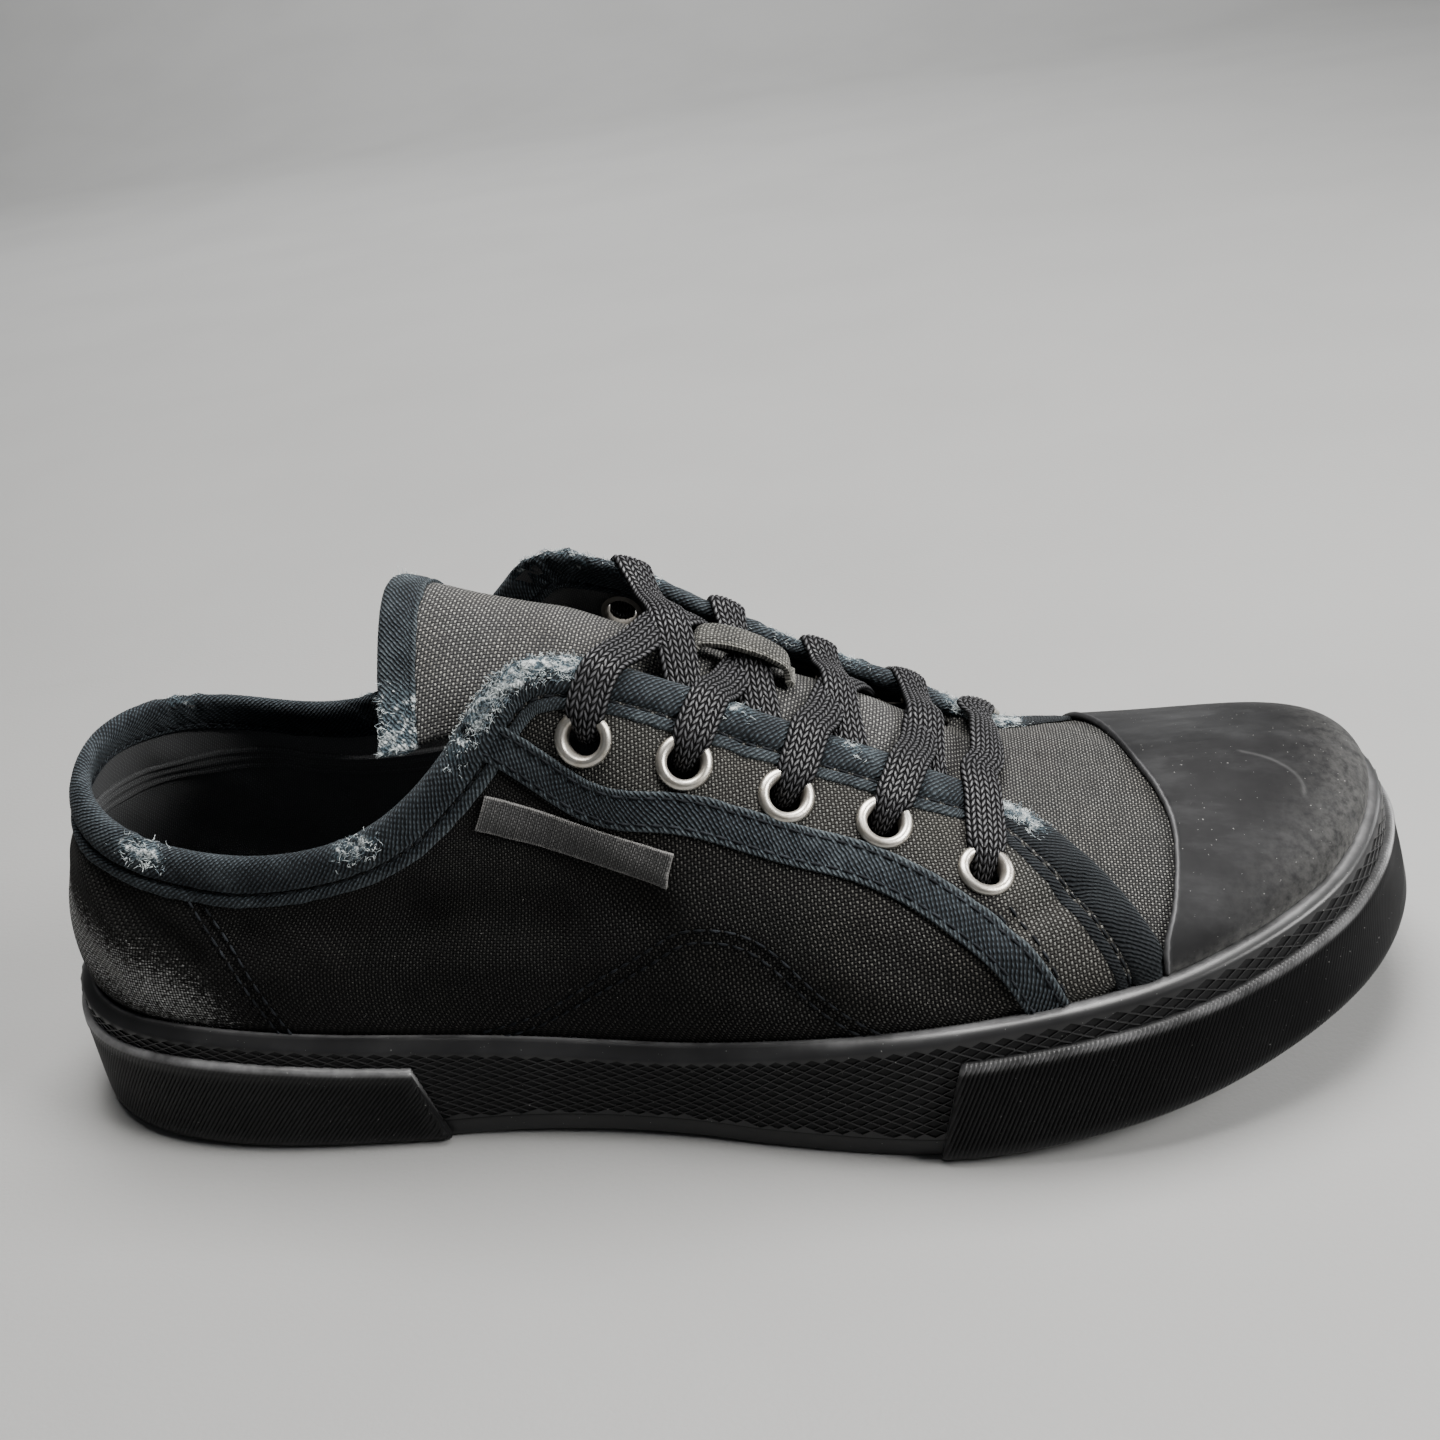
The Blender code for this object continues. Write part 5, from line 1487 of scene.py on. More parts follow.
def make_insole():
    inner = -WALL - 2 * GAP
    station = TOE * (1 - np.cos(np.linspace(0.0, math.pi, 150))) / 2
    station = np.clip(station, 0.02, TOE - 0.02)
    edge = []
    for off, high in ((inner - 0.8, 0.3), (inner, INSOLE_ROUND), (inner, INSOLE_THICK - 1.3),
                      (inner - 0.35, INSOLE_THICK - 0.4), (inner - INSOLE_ROUND, INSOLE_THICK)):
        edge.append([side(t, off, spring(PLAN_X(t)) + FOOTBED + GAP + high)
                     for t in (station, ROUND - station)])
    share = np.linspace(0, 1, SOCK_ACROSS)[None, :, None]
    lateral, medial = edge[-1]
    top = lateral[:, None] * (1 - share) + medial[:, None] * share
    middle = np.sin(share[..., 0] * math.pi)
    heel = bell(top[..., 0] + 100, 26)
    ball = bell(top[..., 0] - 62, 30)
    top[..., 2] -= middle * (1.2 * heel + 0.9 * ball)
    left = np.stack([e[0] for e in edge[:-1]], 1)
    right = np.stack([e[1] for e in edge[:-1]], 1)[:, ::-1]
    under_share = np.linspace(1, 0, 12)[None, 1:-1, None]
    bottom = left[:, :1] * (1 - under_share) + right[:, -1:] * under_share
    rows = closed_ends(np.concatenate([left, top, right, bottom, left[:, :1]], 1))
    flat = np.stack([rows[..., 0], run_along(rows, 1)], -1)
    piece = laid("sock", rows, flat, None, sock_finish())
    sewn(piece, turn=True)
    shown(piece, "insole_cloth", "insole")


make_insole()


# ---------- outsole
# Black vulcanised rubber, cut from moulded sheet: a smooth border, a sunk field with a
# tread of chevron bars, and a smooth edge that shows below the foxing.
SOLE_EDGE = 3.8
OUTSOLE_THICK = 5.0
# Its side, from the ground up: place out from the edge, height, and 1 where dust can't lie
# and the rubber is darkened as painted shade.
SOLE_SIDE = ((-3.0, 0.0, 0), (-1.4, 0.0, 0), (-0.7, 0.15, 0), (-0.2, 0.6, 0), (0.0, 1.3, 0),
             (0.0, 2.2, 0), (0.03, 3.2, 0), (0.0, 4.3, 0), (-0.25, 4.8, 1),
             (-0.7, OUTSOLE_THICK, 1))
RIM_WIDTH, TREAD_DEPTH = 8.0, 1.6
HEEL_BARS, FORE_BARS = (-124.0, -68.0, 11.2), (2.0, 116.0, 11.4)
BAR_WIDTH, BAR_POINT, BAR_SUNK = 4.6, 7.0, 2.0
SOLE_COLUMNS = 560
RUBBER_COLOUR = (0.0085, 0.0086, 0.0091)


def rubber_finish(name, rough=0.46, dusty=1.0, colour=RUBBER_COLOUR, shine=0.48):
    """Black rubber with a satin skin, grey with dust on its raised faces and on its scuffs,
    darkened in its hollows as painted shade and lightened on its marked edges as a painted
    highlight.
    """
    rubber = Finish(name)
    cloud = rubber.grain(24.0, 5.0, 0.62)
    fine = rubber.grain(700.0, 3.0, 0.6)
    smear = rubber.grain(95.0, 4.0, 0.7)
    hollow = rubber.mark("hollow")
    dust = cloud.rise(0.40, 0.70) * 0.14 * dusty + smear.rise(0.55, 0.80) * 0.10 * dusty
    paint = rubber.blend(dust * (1.0 - hollow), colour, (0.085, 0.086, 0.088))
    edge = rubber.mark("edge")
    # Painted shade: the hollows are darkened to half the rubber's colour.
    paint = rubber.blend(hollow * 0.5, paint, tuple(c * 0.5 for c in colour))
    # Painted highlight: the marked edges are lightened toward pale grey.
    paint = rubber.blend(edge * (smear.rise(0.25, 0.75) * 0.8 + 0.2), paint, (0.17, 0.17, 0.173))
    speck = rubber.grain(1700.0, 1.0)
    paint = rubber.blend((speck > 0.775) * 0.5, paint, (0.26, 0.26, 0.25))
    gloss = rough - 0.10 + cloud * 0.14 + smear * 0.10 + fine * 0.06 + hollow * 0.10
    return rubber.coat(Base_Color=paint, Roughness=gloss, Specular_IOR_Level=0.10,
                       Coat_Weight=(1.0 - hollow * 0.8) * (shine + edge * 0.5), Coat_Roughness=0.32,
                       Normal=rubber.bump(fine * 0.7 + smear * 0.6, 0.00004, 0.7))


RUBBER = rubber_finish("black rubber")


def round_shoe(name, rows, marks, material, close=True):
    """A piece laid in rows all round the shoe; its last column repeats its first."""
    rows = np.concatenate([rows, rows[:, :1]], 1)
    flat = np.stack([run_along(rows, 1), run_along(rows, 0)], -1)
    marks = {key: np.broadcast_to(m, rows.shape[:2]) if np.ndim(m) < 2 or m.shape[1] == 1
             else np.concatenate([m, m[:, :1]], 1) for key, m in marks.items()}
    piece = laid(name, rows, flat, marks, material)
    sewn(piece, turn=close)
    return piece


def closing_rows(ring, steps, lift=None):
    """Rows that draw a ring in to its own middle line, lateral meeting medial."""
    far = ring[(-np.arange(len(ring))) % len(ring)]
    middle = (ring + far) / 2
    rows = []
    for share in np.linspace(0, 1, steps + 1)[1:]:
        row = ring * (1 - share) + middle * share
        if lift is not None:
            row[:, 2] = spring(row[:, 0]) + lift
        rows.append(row)
    return rows


def make_outsole():
    t = np.sort(t_at(np.linspace(GIRTH[0], GIRTH[-1], SOLE_COLUMNS, endpoint=False)) % ROUND)
    t[0] = 0.0
    ground = spring(PLAN_X(t))
    floor_in = SOLE_EDGE - RIM_WIDTH
    core_in = -WALL - 2 * GAP
    profile = [(floor_in - 0.3, TREAD_DEPTH, 1), (floor_in, TREAD_DEPTH - 0.3, 1),
               (floor_in, 0.3, 1), (floor_in + 0.3, 0.0, 0),
               *((SOLE_EDGE + off, high, dusty) for off, high, dusty in SOLE_SIDE),
               (core_in, OUTSOLE_THICK, 0), (core_in, FOOTBED, 0)]
    rows = []
    for off, high, _ in profile:
        row = side(t, off, ground + high)
        if high < 2.0 and off < SOLE_EDGE - 1.0:
            row[:, 2] = spring(row[:, 0]) + high
        rows.append(row)
    below = closing_rows(rows[0], 10, TREAD_DEPTH)[::-1]
    above = closing_rows(rows[-1], 4)
    # Rows marked 1 are darkened as painted shade and kept free of dust.
    hollow = [1] * len(below) + [p[2] for p in profile] + [0] * len(above)
    grid = np.stack(below + rows + above)
    piece = round_shoe("rubber_outsole", grid, {"hollow": np.array(hollow, float)[:, None]},
                       RUBBER)
    shown(piece, "rubber", "outsole", angle=40)


def half_widths(x):
    """Lateral and medial y of the plan line at x."""
    t = np.linspace(0.0, TOE, 400)
    return np.interp(x, PLAN_X(t), PLAN_Y(t)), np.interp(x, PLAN_X(ROUND - t), PLAN_Y(ROUND - t))


def tread_bars():
    """Closed chevron bars, each a box whose middle points forward."""
    verts, faces = [], []
    for first, last, step in (HEEL_BARS, FORE_BARS):
        for x in np.arange(first, last + 0.01, step):
            lateral, medial = half_widths(x)
            base = len(verts)
            across = np.linspace(-1, 1, 9)
            for share in across:
                y = ((lateral + BAR_SUNK + 1.8) * (1 - share) / 2
                     + (medial - BAR_SUNK - 1.8) * (1 + share) / 2)
                at = x + BAR_POINT * (1 - 2 * abs(share))
                for dx, up in ((-1, 0.0), (1, 0.0), (1, 2.4), (-1, 2.4)):
                    wide = BAR_WIDTH / 2 - (0.35 if up == 0.0 else 0.0)
                    verts.append((at + dx * wide, y, spring(at) + up))
            for i in range(len(across) - 1):
                for k in range(4):
                    a, b = base + 4 * i + k, base + 4 * i + (k + 1) % 4
                    faces.append((a, b, b + 4, a + 4))
            faces.append((base + 3, base + 2, base + 1, base))
            end = base + 4 * (len(across) - 1)
            faces.append((end, end + 1, end + 2, end + 3))
    return np.array(verts), faces


def make_tread():
    piece = built("tread_bars", *tread_bars(), RUBBER)
    sewn(piece, turn=True)
    finished(piece, "BEVEL", width=0.00035, segments=2, angle_limit=math.radians(40))
    shown(piece, "rubber", angle=35)


make_outsole()
make_tread()


# ---------- toe cap
# A moulded rubber cap, cemented over the vamp. Its rear edge is a thin raised lip with a painted
# highlight along it, dust lies along its foot, and one pale scratch curves over its top.
CAP_LIFT, CAP_THICK, CAP_FOOT = 1.45, 1.3, -0.16
CAP_ROWS, CAP_COLUMNS = 64, 100
CAP_NEAR = (0.0, 0.0018, 0.0042, 0.0072, 0.0108, 0.0148, 0.0195, 0.025, 0.032, 0.042, 0.056)
# Rear lip: height over the cap's face by distance from the edge.
CAP_LIP = ((0.0, -1.05), (0.14, -0.30), (0.32, 0.20), (0.58, 0.28), (0.85, 0.10), (1.2, -0.06),
           (1.9, -0.04), (2.8, 0.0), (60.0, 0.0))
SCRATCH = ((113.4, 1.6), (117.0, 0.2), (119.6, -1.4), (122.0, -3.6), (123.4, -5.9),
           (123.8, -8.2), (123.5, -10.3))


def cap_rear(v, medial):
    """t at which each row of the cap starts, behind its curved edge."""
    x, y = CAP_REAR.T
    t = np.linspace(9.2, 13.2, 500)[None] + np.zeros((len(v), 1))
    t = ROUND - t if medial else t
    points = shell(t, v[:, None])
    ahead = points[..., 0] > np.interp(points[..., 1], y, x)
    return t[np.arange(len(v)), ahead.argmax(1)]


def cap_finish():
    """Smooth black rubber, dulled by dust that has been wiped, with pale scratches and a painted
    highlight on its rear lip.
    """
    rubber = Finish("toe cap rubber")
    cloud = rubber.grain(21.0, 5.0, 0.6)
    wipe = rubber.noise(rubber.vector("MULTIPLY", rubber.place(), (1.0, 2.6, 1.6)), 60.0, 4.0, 0.65)
    fine = rubber.grain(820.0, 3.0, 0.6)
    film = cloud.rise(0.38, 0.66) * 0.20 + wipe.rise(0.45, 0.75) * 0.18
    colour = rubber.blend(film, (0.0060, 0.0061, 0.0066), (0.066, 0.067, 0.069))
    # Painted highlight along the rear lip.
    colour = rubber.blend(rubber.mark("lip") * (0.3 + wipe), colour, (0.16, 0.16, 0.165))
    foot = rubber.mark("hollow")
    gritty = rubber.grain(520.0, 3.0, 0.7)
    colour = rubber.blend(foot * gritty.rise(0.20, 0.75) * 0.55, colour, (0.15, 0.148, 0.142))
    speck = rubber.grain(1700.0, 1.0)
    colour = rubber.blend((speck > 0.77) * 0.5, colour, (0.30, 0.295, 0.285))
    scratch = rubber.mark("scratch")
    colour = rubber.blend(scratch * wipe * 0.45, colour, (0.12, 0.12, 0.12))
    gloss = 0.44 + cloud * 0.16 + wipe * 0.12 + fine * 0.06 + foot * 0.12
    return rubber.coat(Base_Color=colour, Roughness=gloss, Specular_IOR_Level=0.10,
                       Normal=rubber.bump(fine * 0.5 + wipe * 0.6, 0.00005, 0.7))


def make_cap():
    v = np.concatenate([np.linspace(CAP_FOOT, 0.0, 5)[:-1], np.linspace(0.0, 1.0, CAP_ROWS)])
    near = np.array(CAP_NEAR)
    share = np.concatenate([near, near[-1] + (1 - near[-1]) * np.linspace(0, 1, CAP_COLUMNS)[1:]])
    halves = []
    for medial in (False, True):
        first = cap_rear(held(v), medial)[:, None]
        halves.append(first + (TOE - first) * share)
    t = np.concatenate([halves[0], halves[1][:, -2::-1]], 1)
    v = np.broadcast_to(v[:, None], t.shape)
    base = np.where((v < 0)[..., None], side(t, 0.0, FOX_TOP(t) + np.minimum(v, 0) * FOOT_DROP),
                    shell(t, held(v)))
    walk = run_along(base, 1)
    from_edge = np.minimum(walk, walk[:, -1:] - walk)
    lip = np.interp(from_edge, *zip(*CAP_LIP))
    up = run_along(base, 0)
    up = up - up[4]
    foot = held((up + 1.0) / 1.6)
    lift = (CAP_LIFT + lip) * foot + 0.10 * (1 - foot)
    points = base + shell_way(t, held(v)) * lift[..., None]
    arc = smooth_path(SCRATCH, 0.25)
    near_arc = np.min([to_segment(points[..., :2], p, q) for p, q in zip(arc, arc[1:])], 0)
    scratch = bell(near_arc, 0.35) * (points[..., 2] > 45)
    hollow = (0.6 * bell(np.clip(up - 0.5, 0, 99), 1.8)
              + 0.6 * bell(up, 14.0) * held((base[..., 0] - 100) / 30))
    # A painted highlight along the rear lip, strongest low on the lateral side.
    rubbed = (bell(from_edge - 0.40, 0.30)
              * np.clip((12 - base[..., 1]) / 34, 0.15, 1.0) * (up > 1.0))
    flat = np.stack([walk, up], -1)
    piece = laid("rubber_toe_cap", points, flat,
                 {"hollow": hollow, "scratch": scratch, "lip": rubbed}, cap_finish())
    sewn(piece)
    finished(piece, "SOLIDIFY", thickness=CAP_THICK * MM, offset=-1.0)
    shown(piece, "cap_rubber", "toe_cap")


make_cap()


# ---------- foxing
# Rubber tape wrapped round the upper and the outsole. A smooth rounded bead runs along its
# top; below a zigzag the tape is moulded with a lattice of thin lines round sunk diamonds.
DIAMONDS = 158
# The bead: offset from the wall, then share of its height below its top edge, along the
# sides where it slopes and round the toe where it is full.
BEAD = ((0.30, 1.9, 1.9), (0.30, 0.50, 0.50), (0.42, 0.16, 0.16), (0.75, 0.03, 0.03),
        (1.20, 0.00, 0.00), (1.70, 0.07, 0.02), (2.20, 0.21, 0.06), (2.70, 0.37, 0.14),
        (3.20, 0.54, 0.28), (3.60, 0.70, 0.45), (3.90, 0.84, 0.66), (4.02, 0.94, 0.88))
# How the bead's crest is painted pale as a painted highlight: row, then share along the sides
# and round the toe.
BEAD_HIGHLIGHT = ((5, 0.8, 0.5), (6, 1.0, 0.9), (7, 0.15, 1.0), (8, 0.0, 0.9), (9, 0.0, 0.5),
               (10, 0.0, 0.15))
LATTICE_OUT, LATTICE_ROWS = 4.25, 20
LINE_HALF, LINE_SLOPE, LINE_HIGH = 0.00012, 0.00012, 0.00030
# t between which a bumper hides the lattice, and how far down the lattice still shows.
COVERED, COVERED_FALL = ((8.5, 19.3), (25.0, 31.2)), 8.0


def bead_high(t):
    """Height of the smooth bead, least at the toe tip."""
    return np.interp(along(t), (0.0, 3.0, 5.0, 8.0, 9.5, 12.0, 14.0),
                     (1.9, 2.1, 2.6, 2.1, 1.7, 1.4, 1.1))


def diamond_high(t):
    """Height of one diamond, more round the toe."""
    return 1.85 + 0.5 * held((along(t) - 5.5) / 3.0)


def make_foxing():
    count = 2 * DIAMONDS
    whole = GIRTH[-1] - GIRTH[0]
    t = t_at(GIRTH[0] + whole * np.arange(count) / count)
    full = held((along(t) - 6.5) / 2.0)
    high = diamond_high(t) / 2
    covered = np.any([(t - start) % ROUND < end - start for start, end in COVERED], 0)
    foot = spring(PLAN_X(t)) + OUTSOLE_THICK + 0.05
    top = FOX_TOP(t)
    notch = (np.arange(count) % 2) * high
    zigzag = top - bead_high(t) - notch
    rows = [side(t, 0.35, foot), side(t, 0.3, foot + 1.0)]
    rows += [side(t, off, top - (slope + (round_off - slope) * full) * bead_high(t))
             for off, slope, round_off in BEAD]
    under_zigzag = side(t, LATTICE_OUT, zigzag)
    grid = np.stack(rows + [under_zigzag])
    grid = np.concatenate([grid, grid[:, :1]], 1)
    verts = list(grid.reshape(-1, 3))
    wide = count + 1
    faces = [(r * wide + c, (r + 1) * wide + c, (r + 1) * wide + c + 1, r * wide + c + 1)
             for r in range(len(grid) - 1) for c in range(count)]
    nodes = {}

    def node(column, row):
        column %= count
        if (column, row) not in nodes:
            z = max(top[column] - bead_high(t[column]) - row * high[column], foot[column])
            nodes[column, row] = len(verts)
            verts.append(side(t[column:column + 1], LATTICE_OUT, np.array([z]))[0])
        return nodes[column, row]

    sunk = []
    for row in range(1, 2 * LATTICE_ROWS):
        for column in range(count):
            if (column + row) % 2 == 0:
                continue
            ring = (node(column - 1, row), node(column, row + 1), node(column + 1, row),
                    node(column, row - 1))
            drop = verts[ring[3]][2] - verts[ring[1]][2]
            hidden = covered[column] and verts[ring[3]][2] < top[column] - COVERED_FALL
            if drop > 1.6 * high[column] and not hidden:
                sunk.append(ring)
            elif drop > 0.05:
                faces.append(ring)
    base = len(verts)
    for column in range(count + 1):
        c = column % count
        for off, up in ((LATTICE_OUT, 0.0), (LATTICE_OUT - 0.6, 0.0), (0.35, 0.0)):
            verts.append(side(t[c:c + 1], off, foot[c:c + 1] + up)[0])
    for c in range(count):
        a, b = base + 3 * c, base + 3 * c + 3
        faces += [(a, a + 1, b + 1, b), (a + 1, a + 2, b + 2, b + 1)]
    piece = built("rubber_foxing", np.array(verts), faces + sunk, RUBBER)
    data = piece.data
    kind = data.attributes.new("sunk", "INT", "FACE")
    kind.data.foreach_set("value", [0] * len(faces) + [1] * len(sunk))
    edge = np.zeros(len(verts))
    whole_round = np.append(full, full[:1])
    # The bead's crest is marked as an edge, which the rubber lightens as a painted highlight.
    for row, plain_share, full_share in BEAD_HIGHLIGHT:
        edge[row * wide:(row + 1) * wide] = plain_share + (full_share - plain_share) * whole_round
    marked(piece, "edge", edge)
    sewn(piece, near=4e-5, turn=True)
    flags = np.zeros(len(data.polygons), int)
    data.attributes["sunk"].data.foreach_get("value", flags)
    chosen(piece, "FACE", flags == 1)
    for thick, deep in ((LINE_HALF, 0.0), (LINE_SLOPE, -LINE_HIGH)):
        bpy.ops.mesh.inset(thickness=thick, depth=deep, use_individual=True,
                           use_even_offset=False)
    bpy.ops.mesh.select_mode(type="VERT")
    mode("OBJECT")
    # The sunk diamonds are marked as hollows, which the rubber darkens as painted shade.
    hollow = np.zeros(len(data.vertices))
    hollow[[i for face in data.polygons if face.select for i in face.vertices]] = 1.0
    marked(piece, "hollow", hollow)
    shown(piece, "rubber", "foxing", angle=32)


make_foxing()


# ---------- bumpers
# A second, thicker strip of rubber round the toe and another round the heel, cemented over
# the foxing and cut off on a slant. Both are moulded with fine slanting ribs; the heel's
# has a smooth raised lip, and the toe's upper edge is beaded like a cord.
BUMPER_OUT, BUMPER_TAPER, BUMPER_HIGH = 6.25, 0.85, 18.0
BUMPER_T = np.linspace(0.0, 1.5 * ROUND, 4201)
BUMPER_WALK = run_along(side(BUMPER_T, BUMPER_OUT, 14.0), 0)
TOE_BUMPER = {"start": (8.05, 8.30), "end": (19.80, 19.55), "foot": 0.6, "fall": 6.5,
              "pitch": 0.92, "slant": 0.55, "deep": 0.20}
HEEL_BUMPER = {"start": (24.60, 24.75), "end": (31.62, 31.47), "foot": 0.6, "fall": 6.1,
               "pitch": 1.04, "slant": 0.95, "deep": 0.17}
# Section: depth below the outer face, then share of the height.
BUMPER = ((2.6, 0.02), (1.6, 0.0), (0.9, 0.012), (0.3, 0.05), (0.06, 0.10), (0.0, 0.16),
          (0.0, 0.24), (0.0, 0.34), (0.0, 0.44), (0.0, 0.54), (0.0, 0.64), (0.0, 0.73),
          (0.0, 0.81), (0.0, 0.87), (0.0, 0.905), (0.02, 0.935), (0.08, 0.96), (0.22, 0.98),
          (0.5, 0.995), (1.0, 1.003), (1.8, 1.0), (2.6, 0.98))
# The bumpers use a darker copy of the black rubber, as painted shade.
SHADED_BUMPER_RUBBER = rubber_finish("bumper rubber with painted shade", dusty=0.6, colour=(0.0050, 0.0051, 0.0054),
                              shine=0.28)


def make_bumper(name, spec, node, corded):
    depth, share = np.array(BUMPER).T[:, :, None]
    first, last = (np.interp(foot + (top - foot) * share, BUMPER_T, BUMPER_WALK)
                   for foot, top in (spec["start"], spec["end"]))
    high = BUMPER_HIGH * share * spec["slant"]
    pitch = spec["pitch"]
    column = np.arange((first - high).min(), (last - high).max() + pitch / 4, pitch / 4)[None]
    column = column[0, 0] + np.round((column - column[0, 0]) / (pitch / 4)) * pitch / 4
    walk = np.clip(column + high, first, last)
    t = np.interp(walk, BUMPER_WALK, BUMPER_T)
    ground = spring(PLAN_X(t)) + spec["foot"]
    height = ground + (FOX_TOP(t) - spec["fall"] - ground) * share
    face = held((share - 0.04) / 0.08) * held((1.02 - share) / 0.03)
    end = np.minimum(walk - first, last - walk)
    rib = np.cos(2 * math.pi * column / pitch)
    wear = 1 - 0.75 * bell(along(t) - TOE, 1.6) * held((0.5 - share) * 3)
    if corded:
        cord = bell(share - 0.955, 0.035)
        out = rib * (spec["deep"] * face * wear * (1 - cord) + 0.26 * cord) + 0.22 * cord
        out -= 0.25 * bell(share - 0.885, 0.02)
        plain = held(end / 0.8)
        worn = cord
    else:
        lip = held((share - 0.865) / 0.025) + 0.8 * bell(end, 1.1)
        lip = np.minimum(lip, 1.0)
        out = rib * spec["deep"] * face * (1 - lip) + 0.32 * lip * (share < 0.99)
        plain = np.ones_like(end)
        worn = held((share - 0.93) / 0.04) * np.ones_like(end)
    round_off = 0.5 * bell(end, 0.35)
    offset = BUMPER_OUT - depth + out * plain * (depth < 1.2) - round_off * (depth < 1.2)
    offset = np.where(depth < 2.0, offset - BUMPER_TAPER * held(share) ** 1.5, offset)
    points = side(t, offset, height)
    points = np.concatenate([points, points[:1]], 0)
    closed_ends(points.swapaxes(0, 1))
    # The rib grooves are marked as hollows, which the rubber darkens as painted shade.
    hollow = np.concatenate([(0.5 - rib * 0.5) * face * (1 - worn), np.zeros_like(t[:1])])
    # The cord or the lip is marked as an edge, which the rubber lightens as a painted highlight.
    edge = np.concatenate([worn * np.ones_like(t), np.zeros_like(t[:1])])
    flat = np.stack([np.concatenate([walk, walk[:1]]), run_along(points, 0)], -1)
    piece = laid(name, points, flat, {"hollow": hollow, "edge": edge}, SHADED_BUMPER_RUBBER)
    sewn(piece, near=3e-5, turn=True)
    shown(piece, "rubber", node, angle=60)


make_bumper("rubber_toe_bumper", TOE_BUMPER, "toe_bumper", True)
make_bumper("rubber_heel_bumper", HEEL_BUMPER, "heel_bumper", False)


# ---------- eyelets
# Two-part eyelets of nickelled brass, set through the canvas: a domed flange outside, a
# barrel, and the barrel's end rolled over inside.
EYELET_SIDES = 48
# Turned section: radius and height over the last's face.
EYELET = ((5.55, 0.55), (5.62, 0.85), (5.45, 1.25), (5.05, 1.62), (4.50, 1.82), (3.98, 1.74),
          (3.60, 1.40), (3.38, 0.85), (3.28, 0.0), (3.25, -1.2), (3.30, -2.0), (3.65, -2.45),
          (4.30, -2.40), (4.60, -2.05), (4.30, -1.75), (3.75, -1.70), (3.65, -0.5),
          (3.90, 0.45))


def nickel_finish():
    """Nickel plate, a little yellowed and dulled, and darker, rougher and less metallic inside the
    barrel and under the flange.
    """
    metal = Finish("nickel plate")
    cloud = metal.grain(420.0, 4.0, 0.6)
    fine = metal.grain(2200.0, 2.0)
    darker_inside = metal.mark("darker_inside")
    colour = metal.blend(cloud.rise(0.40, 0.75), (0.52, 0.495, 0.45), (0.34, 0.31, 0.26))
    colour = metal.blend(darker_inside * 0.75, colour, (0.10, 0.09, 0.08))
    return metal.coat(Base_Color=colour, Metallic=1.0 - darker_inside * 0.5,
                      Roughness=0.26 + cloud * 0.18 + darker_inside * 0.35 + fine * 0.05,
                      Normal=metal.bump(cloud + fine * 0.4, 0.00004, 0.8))


def modelled_eyelet():
    """One eyelet, its rim drawn round its section ring by ring."""
    bpy.ops.object.select_all(action="DESELECT")
    radius, height = EYELET[0]
    bpy.ops.mesh.primitive_circle_add(vertices=EYELET_SIDES, radius=radius * MM,
                                      location=(0, 0, height * MM))
    eyelet = bpy.context.object
    bpy.ops.object.transform_apply()
    mode("EDIT")
    bpy.ops.mesh.select_all(action="SELECT")
    for next_radius, next_height in EYELET[1:] + EYELET[:1]:
        bpy.ops.mesh.extrude_region_move(
            TRANSFORM_OT_translate={"value": (0, 0, (next_height - height) * MM)})
        bpy.ops.transform.resize(value=(next_radius / radius, next_radius / radius, 1.0),
                                 center_override=(0.0, 0.0, next_height * MM))
        radius, height = next_radius, next_height
    mode("OBJECT")
    sewn(eyelet, turn=True)
    points = np.array([v.co for v in eyelet.data.vertices]) / MM
    faces = [tuple(f.vertices) for f in eyelet.data.polygons]
    bpy.data.objects.remove(eyelet)
    return points, faces


def make_eyelets():
    model = modelled_eyelet()
    frames = []
    for centre, way in eyelet_holes():
        ahead = unit(np.cross(way, (0.3, 0.1, 0.9)))
        frames.append((centre + way * folds(centre[None])[0], ahead, way))
    piece = joined_copies("eyelets", model, frames, nickel_finish())
    radius = np.linalg.norm(model[0][:, :2], axis=1)
    # Darker, rougher and less metallic inside the barrel and under the flange.
    darker_inside = held((3.8 - radius) / 0.5) + held((0.8 - model[0][:, 2]) / 0.3)
    marked(piece, "darker_inside", np.tile(held(darker_inside), len(frames)))
    shown(piece, "nickel", *(f"eyelet_{s}{n}" for s in "lm" for n in range(1, 6)), angle=50)


make_eyelets()


# ---------- laces
# A flat braid of black polyester, eight cords wide. It runs straight over the bottom pair of
# eyelets and crosses four times above; each strand goes into its eyelet from outside, and
# comes from under the far edge of the throat. Both ends stay inside at the top pair.
LACE_WIDTH, LACE_THICK, LACE_STEP = 8.0, 1.9, 0.5
LACE_CORDS, CORD_POINTS = 8, 4
LACE_CLEAR, LACE_BEND = 3.5, 1.3
RIM_LEAD, RIM_SLOPE = 5.0, -0.47
# Share of the way across, place on the tongue (1 is the near side) and height over it.
STRAND = ((0.12, 0.42, 3.3), (0.5, 0.0, 1.9), (0.75, -0.30, 1.5), (0.96, -0.66, 1.3),
          (1.05, -0.92, 0.9))
CROSSINGS = ((5.6, 3.6), (20.0, 0.4), (36.0, 0.4), (51.0, 0.4))
STRAIGHT_X, STRAIGHT_ACROSS, STRAIGHT_HEIGHT = 60.0, (-0.35, 0.0, 0.35), 5.2
OVER_LIFT = 1.7
STITCH_RUN = 1.55      # length of the braid's stitches


